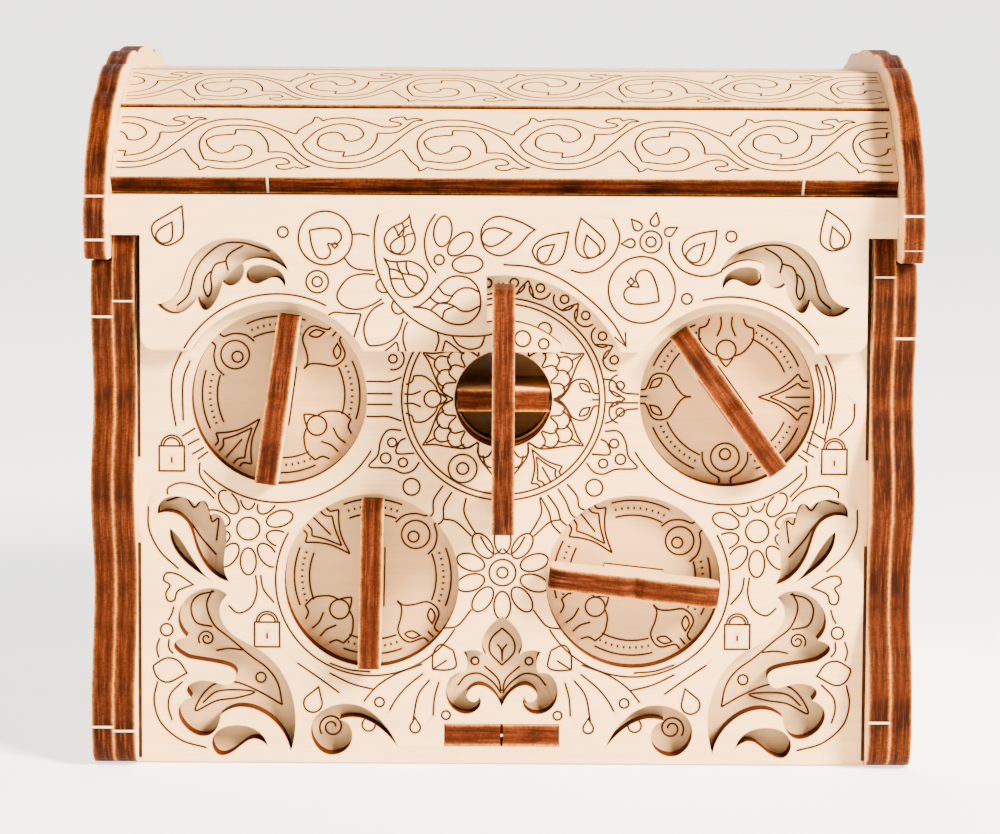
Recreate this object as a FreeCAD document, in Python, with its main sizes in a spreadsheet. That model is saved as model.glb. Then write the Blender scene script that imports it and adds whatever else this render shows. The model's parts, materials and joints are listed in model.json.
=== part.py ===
import FreeCAD, Part
import math
import os
import Sketcher
from FreeCAD import Placement, Rotation, Vector

# A treasure-chest puzzle box of laser-cut plywood. Four dials turn code wheels, and a
# central key turns a rotor whose lobes pass the wheels only when every bite faces it.
# X is to the right, Y runs from the front to the back, Z is up from the table.

doc = FreeCAD.newDocument("PuzzleChest")
sheet = doc.addObject("Spreadsheet::Sheet", "Sizes")

SIZES = {
    "ply": 3.0,                     # plywood thickness of every plate
    "fit": 0.05,                    # gap round a glued tab
    "front_face": -35.97,           # front face of the front panel
    "half_inside": 50.8,            # half the width between the inner side plates
    "panel_height": 76.0,           # top of the front panel
    "inner_height": 72.0,           # top of the plates behind the front panel
    "side_height": 73.8,
    "outer_height": 70.4,
    "axis_height": 51.3,            # height of the key's axis
    "upper_dial_x": 31.05,
    "upper_dial_z": 51.4,
    "lower_dial_x": 18.2,
    "lower_dial_z": 25.75,
    "dial_hole_radius": 12.15,
    "dial_seat_radius": 13.5,
    "dial_disc_radius": 13.2,
    "tab_half_width": 4.15,
    "tab_bore_radius": 4.46,
    "key_hole_radius": 6.8,
    "key_bore_radius": 6.585,
    "key_half_width": 6.35,
    "wheel_radius": 13.8,
    "bite_radius": 22.5,
    "hub_radius": 16.5,
    "lobe_radius": 22.0,
    "lobe_half_width": 3.7,
    "disc_front": 3.4,
    "bearing_front": 6.7,
    "wheel_front": 15.0,
    "rear_bearing_front": 18.6,
    "wedge_front": 21.9,
    "divider_front": 29.0,
    "back_front": 82.0,
    "pivot_y": 83.5,
    "pivot_z": 75.2,
    "pin_radius": 1.5,
    "pin_bore_radius": 1.55,
    "ear_radius": 4.2,
    "heel_radius": 4.6,
    "floor_bottom": 2.5,
    "flap_front": -3.4,
    "flap_top": 79.7,
    "flap_bottom": 58.25,
    "flap_arc_radius": 13.65,
    "lid_end_inner": 54.0,
    "grip_half_length": 11.8,
    "grip_front": -5.0,
    "key_front": -17.0,
    "key_half_length": 16.6,
}

for row, (alias, value) in enumerate(SIZES.items(), start=1):
    sheet.set("A%d" % row, str(value))
    sheet.setAlias("A%d" % row, alias)
doc.recompute()


def size(alias):
    return sheet.get(alias)


ply = size("ply")
fit = size("fit")
half_inside = size("half_inside")
axis_z = size("axis_height")
pivot_y = size("pivot_y")
pivot_z = size("pivot_z")

DIALS = {
    "upper_left": (-size("upper_dial_x"), size("upper_dial_z"), 82.1),
    "upper_right": (size("upper_dial_x"), size("upper_dial_z"), 125.8),
    "lower_left": (-size("lower_dial_x"), size("lower_dial_z"), 88.9),
    "lower_right": (size("lower_dial_x"), size("lower_dial_z"), -6.3),
}
TAB_HEIGHTS = (12.0, 38.5, 62.0)
TAB_HALF = 4.0


# ---- outlines -------------------------------------------------------------------------

def lines(points, closed=True):
    """Straight edges through the points."""
    ends = points[1:] + points[:1] if closed else points[1:]
    return [Part.LineSegment(Vector(*a, 0), Vector(*b, 0)) for a, b in zip(points, ends)]


def curve(points):
    """One smooth edge through the points."""
    spline = Part.BSplineCurve()
    spline.interpolate([Vector(*p, 0) for p in points])
    return spline


def arc(start, middle, end):
    return Part.Arc(Vector(*start, 0), Vector(*middle, 0), Vector(*end, 0))


def rounded(points):
    """A closed polygon of (x, y, corner radius)."""
    corners = []
    count = len(points)
    for i, (x, y, radius) in enumerate(points):
        here = Vector(x, y, 0)
        before = (Vector(*points[i - 1][:2], 0) - here).normalize()
        after = (Vector(*points[(i + 1) % count][:2], 0) - here).normalize()
        half = before.getAngle(after) / 2
        if radius == 0:
            corners.append((here, here, here))
            continue
        reach = radius / math.tan(half)
        bisector = (before + after).normalize()
        middle = here + bisector * (radius / math.sin(half) - radius)
        corners.append((here + before * reach, middle, here + after * reach))
    edges = []
    for i, (enter, middle, leave) in enumerate(corners):
        if enter.distanceToPoint(leave) > 1e-6:
            edges.append(Part.Arc(enter, middle, leave))
        following = corners[(i + 1) % count][0]
        if leave.distanceToPoint(following) > 1e-6:
            edges.append(Part.LineSegment(leave, following))
    return edges


def slot(x, y, half_x, half_y, angle=0.0):
    """A rectangular hole, turned by angle about its own centre."""
    turn = math.radians(angle)
    corners = []
    for u, v in ((-half_x, -half_y), (half_x, -half_y), (half_x, half_y), (-half_x, half_y)):
        corners.append((x + u * math.cos(turn) - v * math.sin(turn),
                        y + u * math.sin(turn) + v * math.cos(turn)))
    return lines(corners)


def polar(centre, radius, degrees):
    return (centre[0] + radius * math.cos(math.radians(degrees)),
            centre[1] + radius * math.sin(math.radians(degrees)))


def mirrored(shape):
    """A cut-out, as lists of points, reflected left to right."""
    return [[(-x, y) for x, y in part] for part in shape]


def cut_out(shape):
    """A closed hole of smooth strokes that meet at cusps."""
    return [curve(part) for part in shape]


# ---- plates ---------------------------------------------------------------------------

FACING_FRONT = Rotation(Vector(1, 0, 0), 90)       # sketch x, y become X, Z
FACING_SIDE = Rotation(Vector(1, 1, 1), 120)       # sketch x, y become Y, Z


def plate(name, outline, holes=(), circles=(), turn=None, at=("0", "0", "0"), centred=False):
    """A plywood plate: an outline with holes, as thick as the ply.

    circles are (x, y, alias of the radius); at is three expressions for its place."""
    body = doc.addObject("PartDesign::Body", name)
    body.Label = name
    sketch = body.newObject("Sketcher::SketchObject", name + "_outline")
    base = [f for f in body.Origin.OriginFeatures if f.Role == "XY_Plane"][0]
    sketch.AttachmentSupport = [(base, "")]
    sketch.MapMode = "FlatFace"
    sketch.addGeometry(list(outline), False)
    for hole in holes:
        sketch.addGeometry(list(hole), False)
    for x, y, alias in circles:
        ring = Part.Circle(Vector(x, y, 0), Vector(0, 0, 1), size(alias))
        index = sketch.addGeometry(ring, False)
        number = sketch.addConstraint(Sketcher.Constraint("Radius", index, size(alias)))
        label = "hole_%d" % index
        sketch.renameConstraint(number, label)
        sketch.setExpression("Constraints." + label, "Sizes." + alias)
    pad = body.newObject("PartDesign::Pad", name + "_ply")
    pad.Profile = sketch
    pad.setExpression("Length", "Sizes.ply")
    pad.Midplane = centred
    body.Placement = Placement(Vector(0, 0, 0), turn or Rotation())
    for axis, expression in zip("xyz", at):
        body.setExpression(".Placement.Base." + axis, expression)
    return body


def front_plate(name, outline, holes, circles, depth, at=("0", "0"), angle=0.0):
    """A plate that faces the front; depth is its front face, from the front panel's."""
    turn = Rotation(Vector(0, -1, 0), angle) * FACING_FRONT
    back = "Sizes.front_face + Sizes.ply + " + depth
    return plate(name, outline, holes, circles, turn, (at[0], back, at[1]))


def tabbed_panel(bottom, top):
    """A cross panel with tabs that enter the inner side plates."""
    right = [(half_inside - fit, bottom)]
    for height in TAB_HEIGHTS:
        right += [(half_inside - fit, height - TAB_HALF), (half_inside + ply, height - TAB_HALF),
                  (half_inside + ply, height + TAB_HALF), (half_inside - fit, height + TAB_HALF)]
    right += [(half_inside - fit, top)]
    left = [(-x, y) for x, y in reversed(right)]
    return lines(right + left)


# ---- cut-outs of the front panel and the flap ------------------------------------------

BUD = [[(-48.0, 35.0), (-47.2, 37.0), (-45.1, 37.5), (-42.8, 36.3)],
       [(-42.8, 36.3), (-41.7, 36.9), (-40.7, 34.9)],
       [(-40.7, 34.9), (-39.6, 35.0), (-38.6, 33.5), (-38.7, 29.6), (-38.0, 25.5)],
       [(-38.0, 25.5), (-41.2, 27.6), (-42.7, 30.5), (-44.3, 34.3), (-46.0, 35.2), (-48.0, 35.0)]]
DROP = [[(-40.5, 25.6), (-43.8, 27.9), (-45.9, 30.6), (-46.3, 33.0)],
        [(-46.3, 33.0), (-44.8, 31.4), (-43.3, 29.0), (-40.5, 25.6)]]
ACANTHUS = [[(-38.4, 23.7), (-40.4, 24.6), (-43.3, 23.7), (-45.1, 21.1), (-44.0, 17.7)],
            [(-44.0, 17.7), (-45.8, 16.6), (-44.1, 14.8)],
            [(-44.1, 14.8), (-40.4, 14.1), (-37.1, 12.3), (-37.7, 11.1), (-41.2, 11.5), (-44.0, 10.4),
             (-43.4, 9.1)],
            [(-43.4, 9.1), (-45.2, 6.8), (-42.6, 3.8), (-39.3, 6.7)],
            [(-39.3, 6.7), (-35.9, 7.8), (-32.8, 6.6), (-30.8, 4.6), (-29.5, 1.5)],
            [(-29.5, 1.5), (-28.9, 7.1), (-30.5, 12.3), (-34.0, 16.0), (-37.9, 18.3), (-39.4, 20.9),
             (-38.4, 23.7)]]
COMMA = [[(-32.7, 2.3), (-34.3, 4.5), (-37.2, 5.2), (-39.9, 4.2), (-40.5, 2.5), (-39.5, 1.0),
          (-37.7, 1.4), (-35.6, 3.0), (-32.7, 2.3)]]
SWIRL = [[(-14.5, 2.2), (-17.0, 6.1), (-20.4, 8.2), (-23.7, 8.0), (-26.2, 6.2), (-26.5, 3.4),
          (-24.1, 1.1), (-21.3, 2.4), (-21.1, 4.8), (-22.7, 6.1)],
         [(-22.7, 6.1), (-20.2, 6.4), (-17.4, 5.2), (-14.5, 2.2)]]
FLEUR_HALF = [[(0.0, 20.8), (2.1, 18.9), (2.8, 16.7), (2.3, 15.3)],
              [(2.3, 15.3), (3.7, 16.0), (5.4, 15.8)],
              [(5.4, 15.8), (4.8, 14.3), (5.1, 12.8)],
              [(5.1, 12.8), (7.1, 12.2), (7.8, 10.0), (6.9, 7.8), (4.7, 7.0), (3.2, 7.9), (3.1, 9.5)],
              [(3.1, 9.5), (4.1, 8.7), (4.9, 9.3), (3.9, 10.9), (2.2, 10.8), (0.8, 9.6), (0.0, 8.0)]]
LEAF = [[(-47.6, 64.6), (-45.4, 63.3), (-42.0, 65.5)],
        [(-42.0, 65.5), (-40.8, 63.8), (-39.2, 65.7), (-38.6, 67.8)],
        [(-38.6, 67.8), (-37.4, 67.2), (-36.2, 67.9), (-35.9, 70.3)],
        [(-35.9, 70.3), (-33.4, 71.0), (-31.4, 70.5), (-29.5, 69.2)],
        [(-29.5, 69.2), (-32.1, 72.4), (-36.4, 73.7), (-40.8, 72.8), (-43.5, 69.5), (-44.7, 66.3),
         (-47.6, 64.6)]]
FLAP_COMMA = [[(-30.0, 67.0), (-30.5, 69.0), (-33.0, 70.1), (-34.9, 69.6), (-35.3, 68.4),
               (-34.2, 67.5), (-32.2, 68.2), (-30.0, 67.0)]]


def fleur():
    left = [list(reversed(part)) for part in reversed(mirrored(FLEUR_HALF))]
    return FLEUR_HALF + left


def both_sides(shapes):
    return [cut_out(s) for s in shapes] + [cut_out(mirrored(s)) for s in shapes]


# ---- the case -------------------------------------------------------------------------

floor_top = size("floor_bottom") + ply
TONGUE_HALF = 7.95          # half width of the floor's front and back tongues
SPLIT = 0.15                # half width of the saw cut in each tongue
TONGUE_FIT = 0.1            # gap round each tongue, which must give a little to snap in


def tongue_slot():
    return slot(0, size("floor_bottom") + ply / 2, TONGUE_HALF + TONGUE_FIT, ply / 2 + TONGUE_FIT)


def dial_circles(alias):
    return [(x, z, alias) for x, z, angle in DIALS.values()]


def make_case():
    height = size("panel_height")
    inner_height = size("inner_height")
    front_holes = [tongue_slot(), cut_out(fleur())]
    front_holes += both_sides([BUD, DROP, ACANTHUS, COMMA, SWIRL])
    front_plate("front_panel", tabbed_panel(0, height), front_holes,
                dial_circles("dial_hole_radius") + [(0, axis_z, "key_hole_radius")], "0")
    inner_bottom = floor_top + fit
    front_plate("backing_panel", tabbed_panel(0, inner_height), [tongue_slot()],
                dial_circles("dial_seat_radius") + [(0, axis_z, "key_hole_radius")], "Sizes.ply")
    for name, depth in (("bearing_plate", "Sizes.bearing_front"),
                        ("rear_bearing_plate", "Sizes.rear_bearing_front")):
        front_plate(name, tabbed_panel(inner_bottom, inner_height), [],
                    dial_circles("tab_bore_radius") + [(0, axis_z, "key_bore_radius")], depth)
    front_plate("compartment_wall", tabbed_panel(inner_bottom, inner_height), [], [],
                "Sizes.divider_front")
    front_plate("back_panel", tabbed_panel(0, size("outer_height")), [tongue_slot()], [],
                "Sizes.back_front")
    make_floor()
    for side, sign in (("left", -1), ("right", 1)):
        make_sides(side, sign)


FLOOR_TABS = (14.5, 42.0, 68.0)         # where the floor enters the side plates
SAW_END = 1.0                           # how far each saw cut runs past its tongue


def make_floor():
    """The floor panel between the front and back panels, with a split tongue at each end."""
    front = 2 * ply + fit
    back = size("back_front") - fit
    right = [(SPLIT, front + SAW_END), (SPLIT, 0), (TONGUE_HALF, 0), (TONGUE_HALF, front),
             (half_inside - fit, front)]
    for y in FLOOR_TABS:
        right += [(half_inside - fit, y - TAB_HALF), (half_inside + ply, y - TAB_HALF),
                  (half_inside + ply, y + TAB_HALF), (half_inside - fit, y + TAB_HALF)]
    end = back + fit + ply
    right += [(half_inside - fit, back), (TONGUE_HALF, back), (TONGUE_HALF, end), (SPLIT, end),
              (SPLIT, back - SAW_END)]
    left = [(-x, y) for x, y in reversed(right)]
    plate("bottom_panel", lines(right + left),
          at=("0", "Sizes.front_face", "Sizes.floor_bottom"))


FRONT_WAVE = [(-2.6, 63.0), (-0.4, 51.0), (-3.8, 38.5), (-0.4, 26.0), (-3.6, 13.0), (-4.0, 4.5)]
BACK_WAVE = [(88.5, 4.5), (88.1, 13.0), (85.4, 26.0), (88.3, 38.5), (85.4, 51.0), (87.2, 63.0)]
FOOT = 4.5                              # radius of the lower corners of the side plates


def feet(front_y=-4.0, back_y=88.5):
    """The bottom edge of a side plate, with its two rounded corners."""
    slack = FOOT * (1 - math.sqrt(0.5))
    edges = [arc((front_y, FOOT), (front_y + slack, slack), (front_y + FOOT, 0))]
    edges += lines([(front_y + FOOT, 0), (back_y - FOOT, 0)], closed=False)
    edges += [arc((back_y - FOOT, 0), (back_y - slack, slack), (back_y, FOOT))]
    return edges


def make_sides(side, sign):
    """The inner plate with slots for every panel, and the plain outer plate glued to it."""
    top = size("side_height")
    ear = size("ear_radius")
    ear_start = pivot_y - math.sqrt(ear ** 2 - (top - pivot_z) ** 2)
    inner = [curve([(-1.5, top)] + FRONT_WAVE)] + feet() + [curve(BACK_WAVE + [(pivot_y + ear, pivot_z)])]
    inner += [arc((pivot_y + ear, pivot_z), (pivot_y, pivot_z + ear), (ear_start, top))]
    inner += lines([(ear_start, top), (-1.5, top)], closed=False)
    slots = []
    for front in (0, size("bearing_front"), size("rear_bearing_front"), size("divider_front"),
                  size("back_front")):
        deep = 2 * ply if front == 0 else ply       # the front panel and its backing share a slot
        for z in TAB_HEIGHTS:
            slots.append(slot(front + deep / 2, z, deep / 2 + fit, TAB_HALF + fit))
    for y in FLOOR_TABS:
        slots.append(slot(y, size("floor_bottom") + ply / 2, TAB_HALF + fit, ply / 2 + fit))
    inner_x = "Sizes.half_inside" if sign > 0 else "-Sizes.half_inside - Sizes.ply"
    outer_x = "Sizes.half_inside + Sizes.ply" if sign > 0 else "-Sizes.half_inside - 2 * Sizes.ply"
    plate("inner_side_" + side, inner, slots, [(pivot_y, pivot_z, "pin_bore_radius")],
          FACING_SIDE, (inner_x, "Sizes.front_face", "0"))
    top = size("outer_height")
    outer = [curve([(-1.7, top)] + FRONT_WAVE)] + feet() + [curve(BACK_WAVE + [(87.4, top)])]
    outer += lines([(87.4, top), (-1.7, top)], closed=False)
    plate("outer_side_" + side, outer, [], [], FACING_SIDE, (outer_x, "Sizes.front_face", "0"))


# ---- the lid --------------------------------------------------------------------------

LID_MIDDLE = 40.5               # Y about which the lid's planks are symmetric
PLANKS = {                      # lower front corner of the outer face, length up the slope, tilt
    "lower": (-3.0, 82.1, 14.2, 40.0),
    "upper": (8.9, 91.75, 13.6, 20.0),
    "top": (22.9, 96.5, 35.2, 0.0),
}
PLANK_TAB = 3.0                 # half width of the tab at each end of a plank
FLAP_TAB = 77.0                 # height of the flap's tab
END_BOTTOM = 70.9               # lower edge of the end plates
PIN_GAP = 0.1                   # between the outer side plate's joint and the pin's end


def plank(name, tilt, length, place):
    """A plank across the lid, with a tab at each end; place is its lower front corner."""
    edge = size("lid_end_inner") - fit
    tip = size("lid_end_inner") + ply
    middle = length / 2
    right = [(edge, 0), (edge, middle - PLANK_TAB), (tip, middle - PLANK_TAB),
             (tip, middle + PLANK_TAB), (edge, middle + PLANK_TAB), (edge, length)]
    left = [(-x, y) for x, y in reversed(right)]
    plate(name, lines(right + left), turn=Rotation(Vector(1, 0, 0), tilt),
          at=("0", "Sizes.front_face + %r" % place[0], "%r" % place[1]))


def under(y, z, tilt):
    """The corner below the outer face's corner, through the ply."""
    turn = math.radians(tilt)
    return (y + ply * math.sin(turn), z - ply * math.cos(turn))


def plank_places():
    """Every plank as name, tilt, length and the lower front corner of its inner face."""
    for part, (y, z, length, tilt) in PLANKS.items():
        if part == "top":
            yield "lid_top_plank", 0.0, length, under(y, z, 0.0)
            continue
        yield "lid_front_%s_plank" % part, tilt, length, under(y, z, tilt)
        turn = math.radians(tilt)
        far_y = 2 * LID_MIDDLE - y - length * math.cos(turn)
        far_z = z + length * math.sin(turn)
        yield "lid_rear_%s_plank" % part, -tilt, length, under(far_y, far_z, -tilt)


def bulged(points, swell=0.95):
    """Shallow outward arcs from point to point, like a scalloped edge."""
    edges = []
    for a, b in zip(points, points[1:]):
        run = (b[0] - a[0], b[1] - a[1])
        long = math.hypot(*run)
        middle = ((a[0] + b[0]) / 2 - run[1] / long * swell, (a[1] + b[1]) / 2 + run[0] / long * swell)
        edges.append(arc(a, middle, b))
    return edges


def make_lid_end(side, sign):
    """An end plate: a scalloped arch over the planks, round about the hinge at its heel."""
    heel = size("heel_radius")
    heel_start = pivot_y + math.sqrt(heel ** 2 - (pivot_z - END_BOTTOM) ** 2)
    front = [(-8.1, 73.4), (-7.4, 80.4), (-3.0, 87.6), (5.6, 93.6), (16.3, 97.2), (29.8, 98.7)]
    back = [(51.2, 98.7), (64.7, 97.2), (75.4, 93.6), (83.4, 87.6), (87.6, 80.4)]
    edges = lines([(heel_start, END_BOTTOM), (-5.6, END_BOTTOM)], closed=False)
    edges += [arc((-5.6, END_BOTTOM), (-7.4, 71.6), front[0])]
    edges += bulged(front + back)
    edges += lines([back[-1], (pivot_y + heel, pivot_z)], closed=False)
    heel_middle = polar((pivot_y, pivot_z), heel, -35)
    edges += [arc((pivot_y + heel, pivot_z), heel_middle, (heel_start, END_BOTTOM))]
    holes = [slot(size("flap_front") + ply / 2, FLAP_TAB, ply / 2 + fit, PLANK_TAB / 2 + fit)]
    for name, tilt, length, (y, z) in plank_places():
        turn = math.radians(tilt)
        along = (math.cos(turn), math.sin(turn))
        centre_y = y + along[0] * length / 2 - along[1] * ply / 2
        centre_z = z + along[1] * length / 2 + along[0] * ply / 2
        holes.append(slot(centre_y, centre_z, PLANK_TAB + fit, ply / 2 + fit, tilt))
    x = "Sizes.lid_end_inner" if sign > 0 else "-Sizes.lid_end_inner - Sizes.ply"
    plate("lid_end_" + side, edges, holes, [(pivot_y, pivot_z, "pin_radius")], FACING_SIDE,
          (x, "Sizes.front_face", "0"))
    pin = doc.addObject("Part::Cylinder", "hinge_pin_" + side)
    pin.Label = "hinge_pin_" + side
    pin.setExpression("Radius", "Sizes.pin_radius")
    pin.setExpression("Height", "2 * Sizes.ply + %r" % PIN_GAP)
    start = "Sizes.half_inside + %r" % PIN_GAP
    if sign < 0:
        start = "-Sizes.half_inside - 2 * Sizes.ply - %r" % (2 * PIN_GAP)
    pin.Placement = Placement(Vector(0, 0, 0), Rotation(Vector(0, 1, 0), 90))
    pin.setExpression(".Placement.Base.x", start)
    pin.setExpression(".Placement.Base.y", "Sizes.front_face + Sizes.pivot_y")
    pin.setExpression(".Placement.Base.z", "Sizes.pivot_z")


FLAP_SLOT_INNER = 11.2          # radii of the hook's slot, about the key's axis
FLAP_SLOT_OUTER = 17.5
FLAP_SLOT_LEFT = -2.34          # X where the slot ends
TONGUE_TIP = 7.5                # X of the tongue's tip
FLAP_NARROW = 49.9              # half width of the flap between the inner side plates
FLAP_SHOULDER = 74.1            # height at which it widens over them
CORNER = 2.0                    # its lower corners are this round


def circle_at(centre, radius, y):
    """How far right of its centre a circle is at height y."""
    return math.sqrt(radius ** 2 - (y - centre[1]) ** 2)


def make_flap():
    """The hanging front of the lid. Its slot takes the key's hook over a tongue."""
    top = size("flap_top")
    bottom = size("flap_bottom")
    reach = size("flap_arc_radius")
    wide = size("lid_end_inner") - fit
    tip = size("lid_end_inner") + ply
    narrow = FLAP_NARROW
    shoulder = FLAP_SHOULDER
    dial_x = size("upper_dial_x")
    dial_z = size("upper_dial_z")
    dial_half = circle_at((0, dial_z), reach, bottom)
    axis = (0, axis_z)
    right_end = circle_at(axis, FLAP_SLOT_OUTER, bottom)
    tip_angle = math.degrees(math.acos(TONGUE_TIP / FLAP_SLOT_INNER))
    slot_left_in = (FLAP_SLOT_LEFT, axis_z + math.sqrt(FLAP_SLOT_INNER ** 2 - FLAP_SLOT_LEFT ** 2))
    slot_left_out = (FLAP_SLOT_LEFT, axis_z + math.sqrt(FLAP_SLOT_OUTER ** 2 - FLAP_SLOT_LEFT ** 2))
    tongue_end = polar(axis, FLAP_SLOT_INNER, tip_angle)
    edges = lines([(-narrow, bottom + CORNER), (-narrow, shoulder), (-wide, shoulder),
                   (-wide, FLAP_TAB - PLANK_TAB / 2), (-tip, FLAP_TAB - PLANK_TAB / 2),
                   (-tip, FLAP_TAB + PLANK_TAB / 2), (-wide, FLAP_TAB + PLANK_TAB / 2),
                   (-wide, top), (wide, top), (wide, FLAP_TAB + PLANK_TAB / 2),
                   (tip, FLAP_TAB + PLANK_TAB / 2), (tip, FLAP_TAB - PLANK_TAB / 2),
                   (wide, FLAP_TAB - PLANK_TAB / 2), (wide, shoulder), (narrow, shoulder),
                   (narrow, bottom + CORNER)], closed=False)
    slack = CORNER * (1 - math.sqrt(0.5))
    edges += [arc((narrow, bottom + CORNER), (narrow - slack, bottom + slack),
                  (narrow - CORNER, bottom))]
    edges += lines([(narrow - CORNER, bottom), (dial_x + dial_half, bottom)], closed=False)
    edges += [arc((dial_x + dial_half, bottom), (dial_x, dial_z + reach), (dial_x - dial_half, bottom))]
    edges += lines([(dial_x - dial_half, bottom), (right_end, bottom)], closed=False)
    edges += [arc((right_end, bottom), polar(axis, FLAP_SLOT_OUTER, 60), slot_left_out)]
    edges += lines([slot_left_out, slot_left_in], closed=False)
    edges += [arc(slot_left_in, polar(axis, FLAP_SLOT_INNER, 75), tongue_end)]
    edges += [arc(tongue_end, (tongue_end[0] + 0.5, bottom + 0.6), (TONGUE_TIP - 0.8, bottom))]
    edges += lines([(TONGUE_TIP - 0.8, bottom), (-dial_x + dial_half, bottom)], closed=False)
    edges += [arc((-dial_x + dial_half, bottom), (-dial_x, dial_z + reach),
                  (-dial_x - dial_half, bottom))]
    edges += lines([(-dial_x - dial_half, bottom), (CORNER - narrow, bottom)],
                   closed=False)
    edges += [arc((CORNER - narrow, bottom), (slack - narrow, bottom + slack),
                  (-narrow, bottom + CORNER))]
    front_plate("lid_flap", edges, both_sides([LEAF, FLAP_COMMA]), [], "Sizes.flap_front")


BACK_STRIP = (0.4, 75.4, 4.2)   # gap at each end of the lid's back strip, its middle, half height


def make_lid():
    for name, tilt, length, place in plank_places():
        plank(name, tilt, length, place)
    make_flap()
    gap, middle, half_height = BACK_STRIP
    front_plate("lid_back", slot(0, middle, half_inside - gap, half_height), [], [],
                "Sizes.back_front")
    for side, sign in (("left", -1), ("right", 1)):
        make_lid_end(side, sign)


# ---- the key --------------------------------------------------------------------------

LAP = 8.0                       # depth at which the two key plates lap
HOOK_INNER = 12.0               # the hook starts this far from the axis
HOOK_BACK = -0.35               # depths: back of the hook, back of the bar, cross plate's ends
BAR_BACK = -5.6
CROSS_FRONT = -1.5
KEY_END = 27.5
WEDGE_TAPER = 0.4               # how much narrower a wedge is at its thin end, each side
KEY_WEDGE_HALF = 6.5
DIAL_WEDGE_HALF = 6.0


def wedge_outline(half):
    """A tapered peg of ply that closes a slot across a shaft."""
    thin = ply / 2 - WEDGE_TAPER
    return lines([(-ply / 2, half), (-thin, -half), (thin, -half), (ply / 2, half)])


def make_key():
    """The upright key plate and the flat cross plate lapped through it."""
    half = size("key_half_width")
    long = size("key_half_length")
    front = size("key_front")
    end = size("rear_bearing_front") + ply
    gap = ply / 2 + fit
    outline = rounded([(front, -long, 2.2), (HOOK_BACK, -long, 0.8), (HOOK_BACK, -HOOK_INNER, 0.6),
                       (BAR_BACK, -HOOK_INNER, 0.8), (BAR_BACK, -half, 0.6), (end, -half, 0),
                       (end, -gap, 0), (LAP, -gap, 0), (LAP, gap, 0), (end, gap, 0), (end, half, 0),
                       (BAR_BACK, half, 0.6), (BAR_BACK, long, 0.8), (front, long, 2.2),
                       (front, 1.6, 0.5), (front + 0.9, 0, 0.8), (front, -1.6, 0.5)])
    plate("key_plate", outline, turn=FACING_SIDE, at=("0", "Sizes.front_face", "Sizes.axis_height"),
          centred=True)
    cross = lines([(-half, CROSS_FRONT), (-gap, CROSS_FRONT), (-gap, LAP + fit), (gap, LAP + fit),
                   (gap, CROSS_FRONT), (half, CROSS_FRONT), (half, KEY_END), (-half, KEY_END)])
    wedge_y = size("wedge_front") + ply / 2
    plate("cross_plate", cross, [slot(0, wedge_y, gap, ply / 2 + fit)],
          at=("0", "Sizes.front_face", "Sizes.axis_height"), centred=True)
    lobe = size("lobe_half_width")
    hub = size("hub_radius")
    tip = size("lobe_radius")
    root_z = math.sqrt(hub ** 2 - lobe ** 2)
    tip_z = math.sqrt(tip ** 2 - lobe ** 2)
    rotor = [arc((lobe, -root_z), (hub, 0), (lobe, root_z))]
    rotor += lines([(lobe, root_z), (lobe, tip_z)], closed=False)
    rotor += [arc((lobe, tip_z), (0, tip), (-lobe, tip_z))]
    rotor += lines([(-lobe, tip_z), (-lobe, root_z)], closed=False)
    rotor += [arc((-lobe, root_z), (-hub, 0), (-lobe, -root_z))]
    rotor += lines([(-lobe, -root_z), (-lobe, -tip_z)], closed=False)
    rotor += [arc((-lobe, -tip_z), (0, -tip), (lobe, -tip_z))]
    rotor += lines([(lobe, -tip_z), (lobe, -root_z)], closed=False)
    reach = half + fit
    cross_hole = lines([(-reach, -gap), (-gap, -gap), (-gap, -reach), (gap, -reach), (gap, -gap),
                        (reach, -gap), (reach, gap), (gap, gap), (gap, reach), (-gap, reach),
                        (-gap, gap), (-reach, gap)])
    front_plate("rotor", rotor, [cross_hole], [], "Sizes.wheel_front",
                ("0", "Sizes.axis_height"))
    front_plate("key_wedge", wedge_outline(KEY_WEDGE_HALF), [], [], "Sizes.wedge_front",
                ("0", "Sizes.axis_height"))


# ---- the dials ------------------------------------------------------------------------

GRIP_BACK = 1.3                 # depths: back of the grip, end of its tail
DISC_GAP = 0.25                 # gap beside the tail in the disc, which is only glued at its ends
DIAL_END = 27.5


def make_dial(name, x, z, angle):
    """A grip plate whose tail carries the disc and the code wheel, held by a wedge."""
    half = size("tab_half_width")
    long = size("grip_half_length")
    front = size("grip_front")
    gap = ply / 2 + fit
    sign = "-" if x < 0 else ""
    row = "upper" if name.startswith("upper") else "lower"
    place = (sign + "Sizes.%s_dial_x" % row, "Sizes.%s_dial_z" % row)
    outline = rounded([(-long, front, 1.8), (-1.3, front, 0.4), (0, front + 0.8, 0.6), (1.3, front, 0.4),
                       (long, front, 1.8), (long, GRIP_BACK, 1.8), (half, GRIP_BACK, 0),
                       (half, DIAL_END, 0.8), (-half, DIAL_END, 0.8), (-half, GRIP_BACK, 0),
                       (-long, GRIP_BACK, 1.8)])
    wedge_y = size("wedge_front") + ply / 2
    plate(name + "_grip", outline, [slot(0, wedge_y, gap, ply / 2 + fit)],
          turn=Rotation(Vector(0, -1, 0), angle), at=(place[0], "Sizes.front_face", place[1]),
          centred=True)
    radius = size("dial_disc_radius")
    disc = [arc((radius, 0), (0, radius), (-radius, 0)), arc((-radius, 0), (0, -radius), (radius, 0))]
    front_plate(name + "_disc", disc, [slot(0, 0, half + fit, ply / 2 + DISC_GAP)], [],
                "Sizes.disc_front", place, angle)
    make_code_wheel(name, (x, z), angle, place)
    front_plate(name + "_wedge", wedge_outline(DIAL_WEDGE_HALF), [], [], "Sizes.wedge_front", place, angle)


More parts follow.
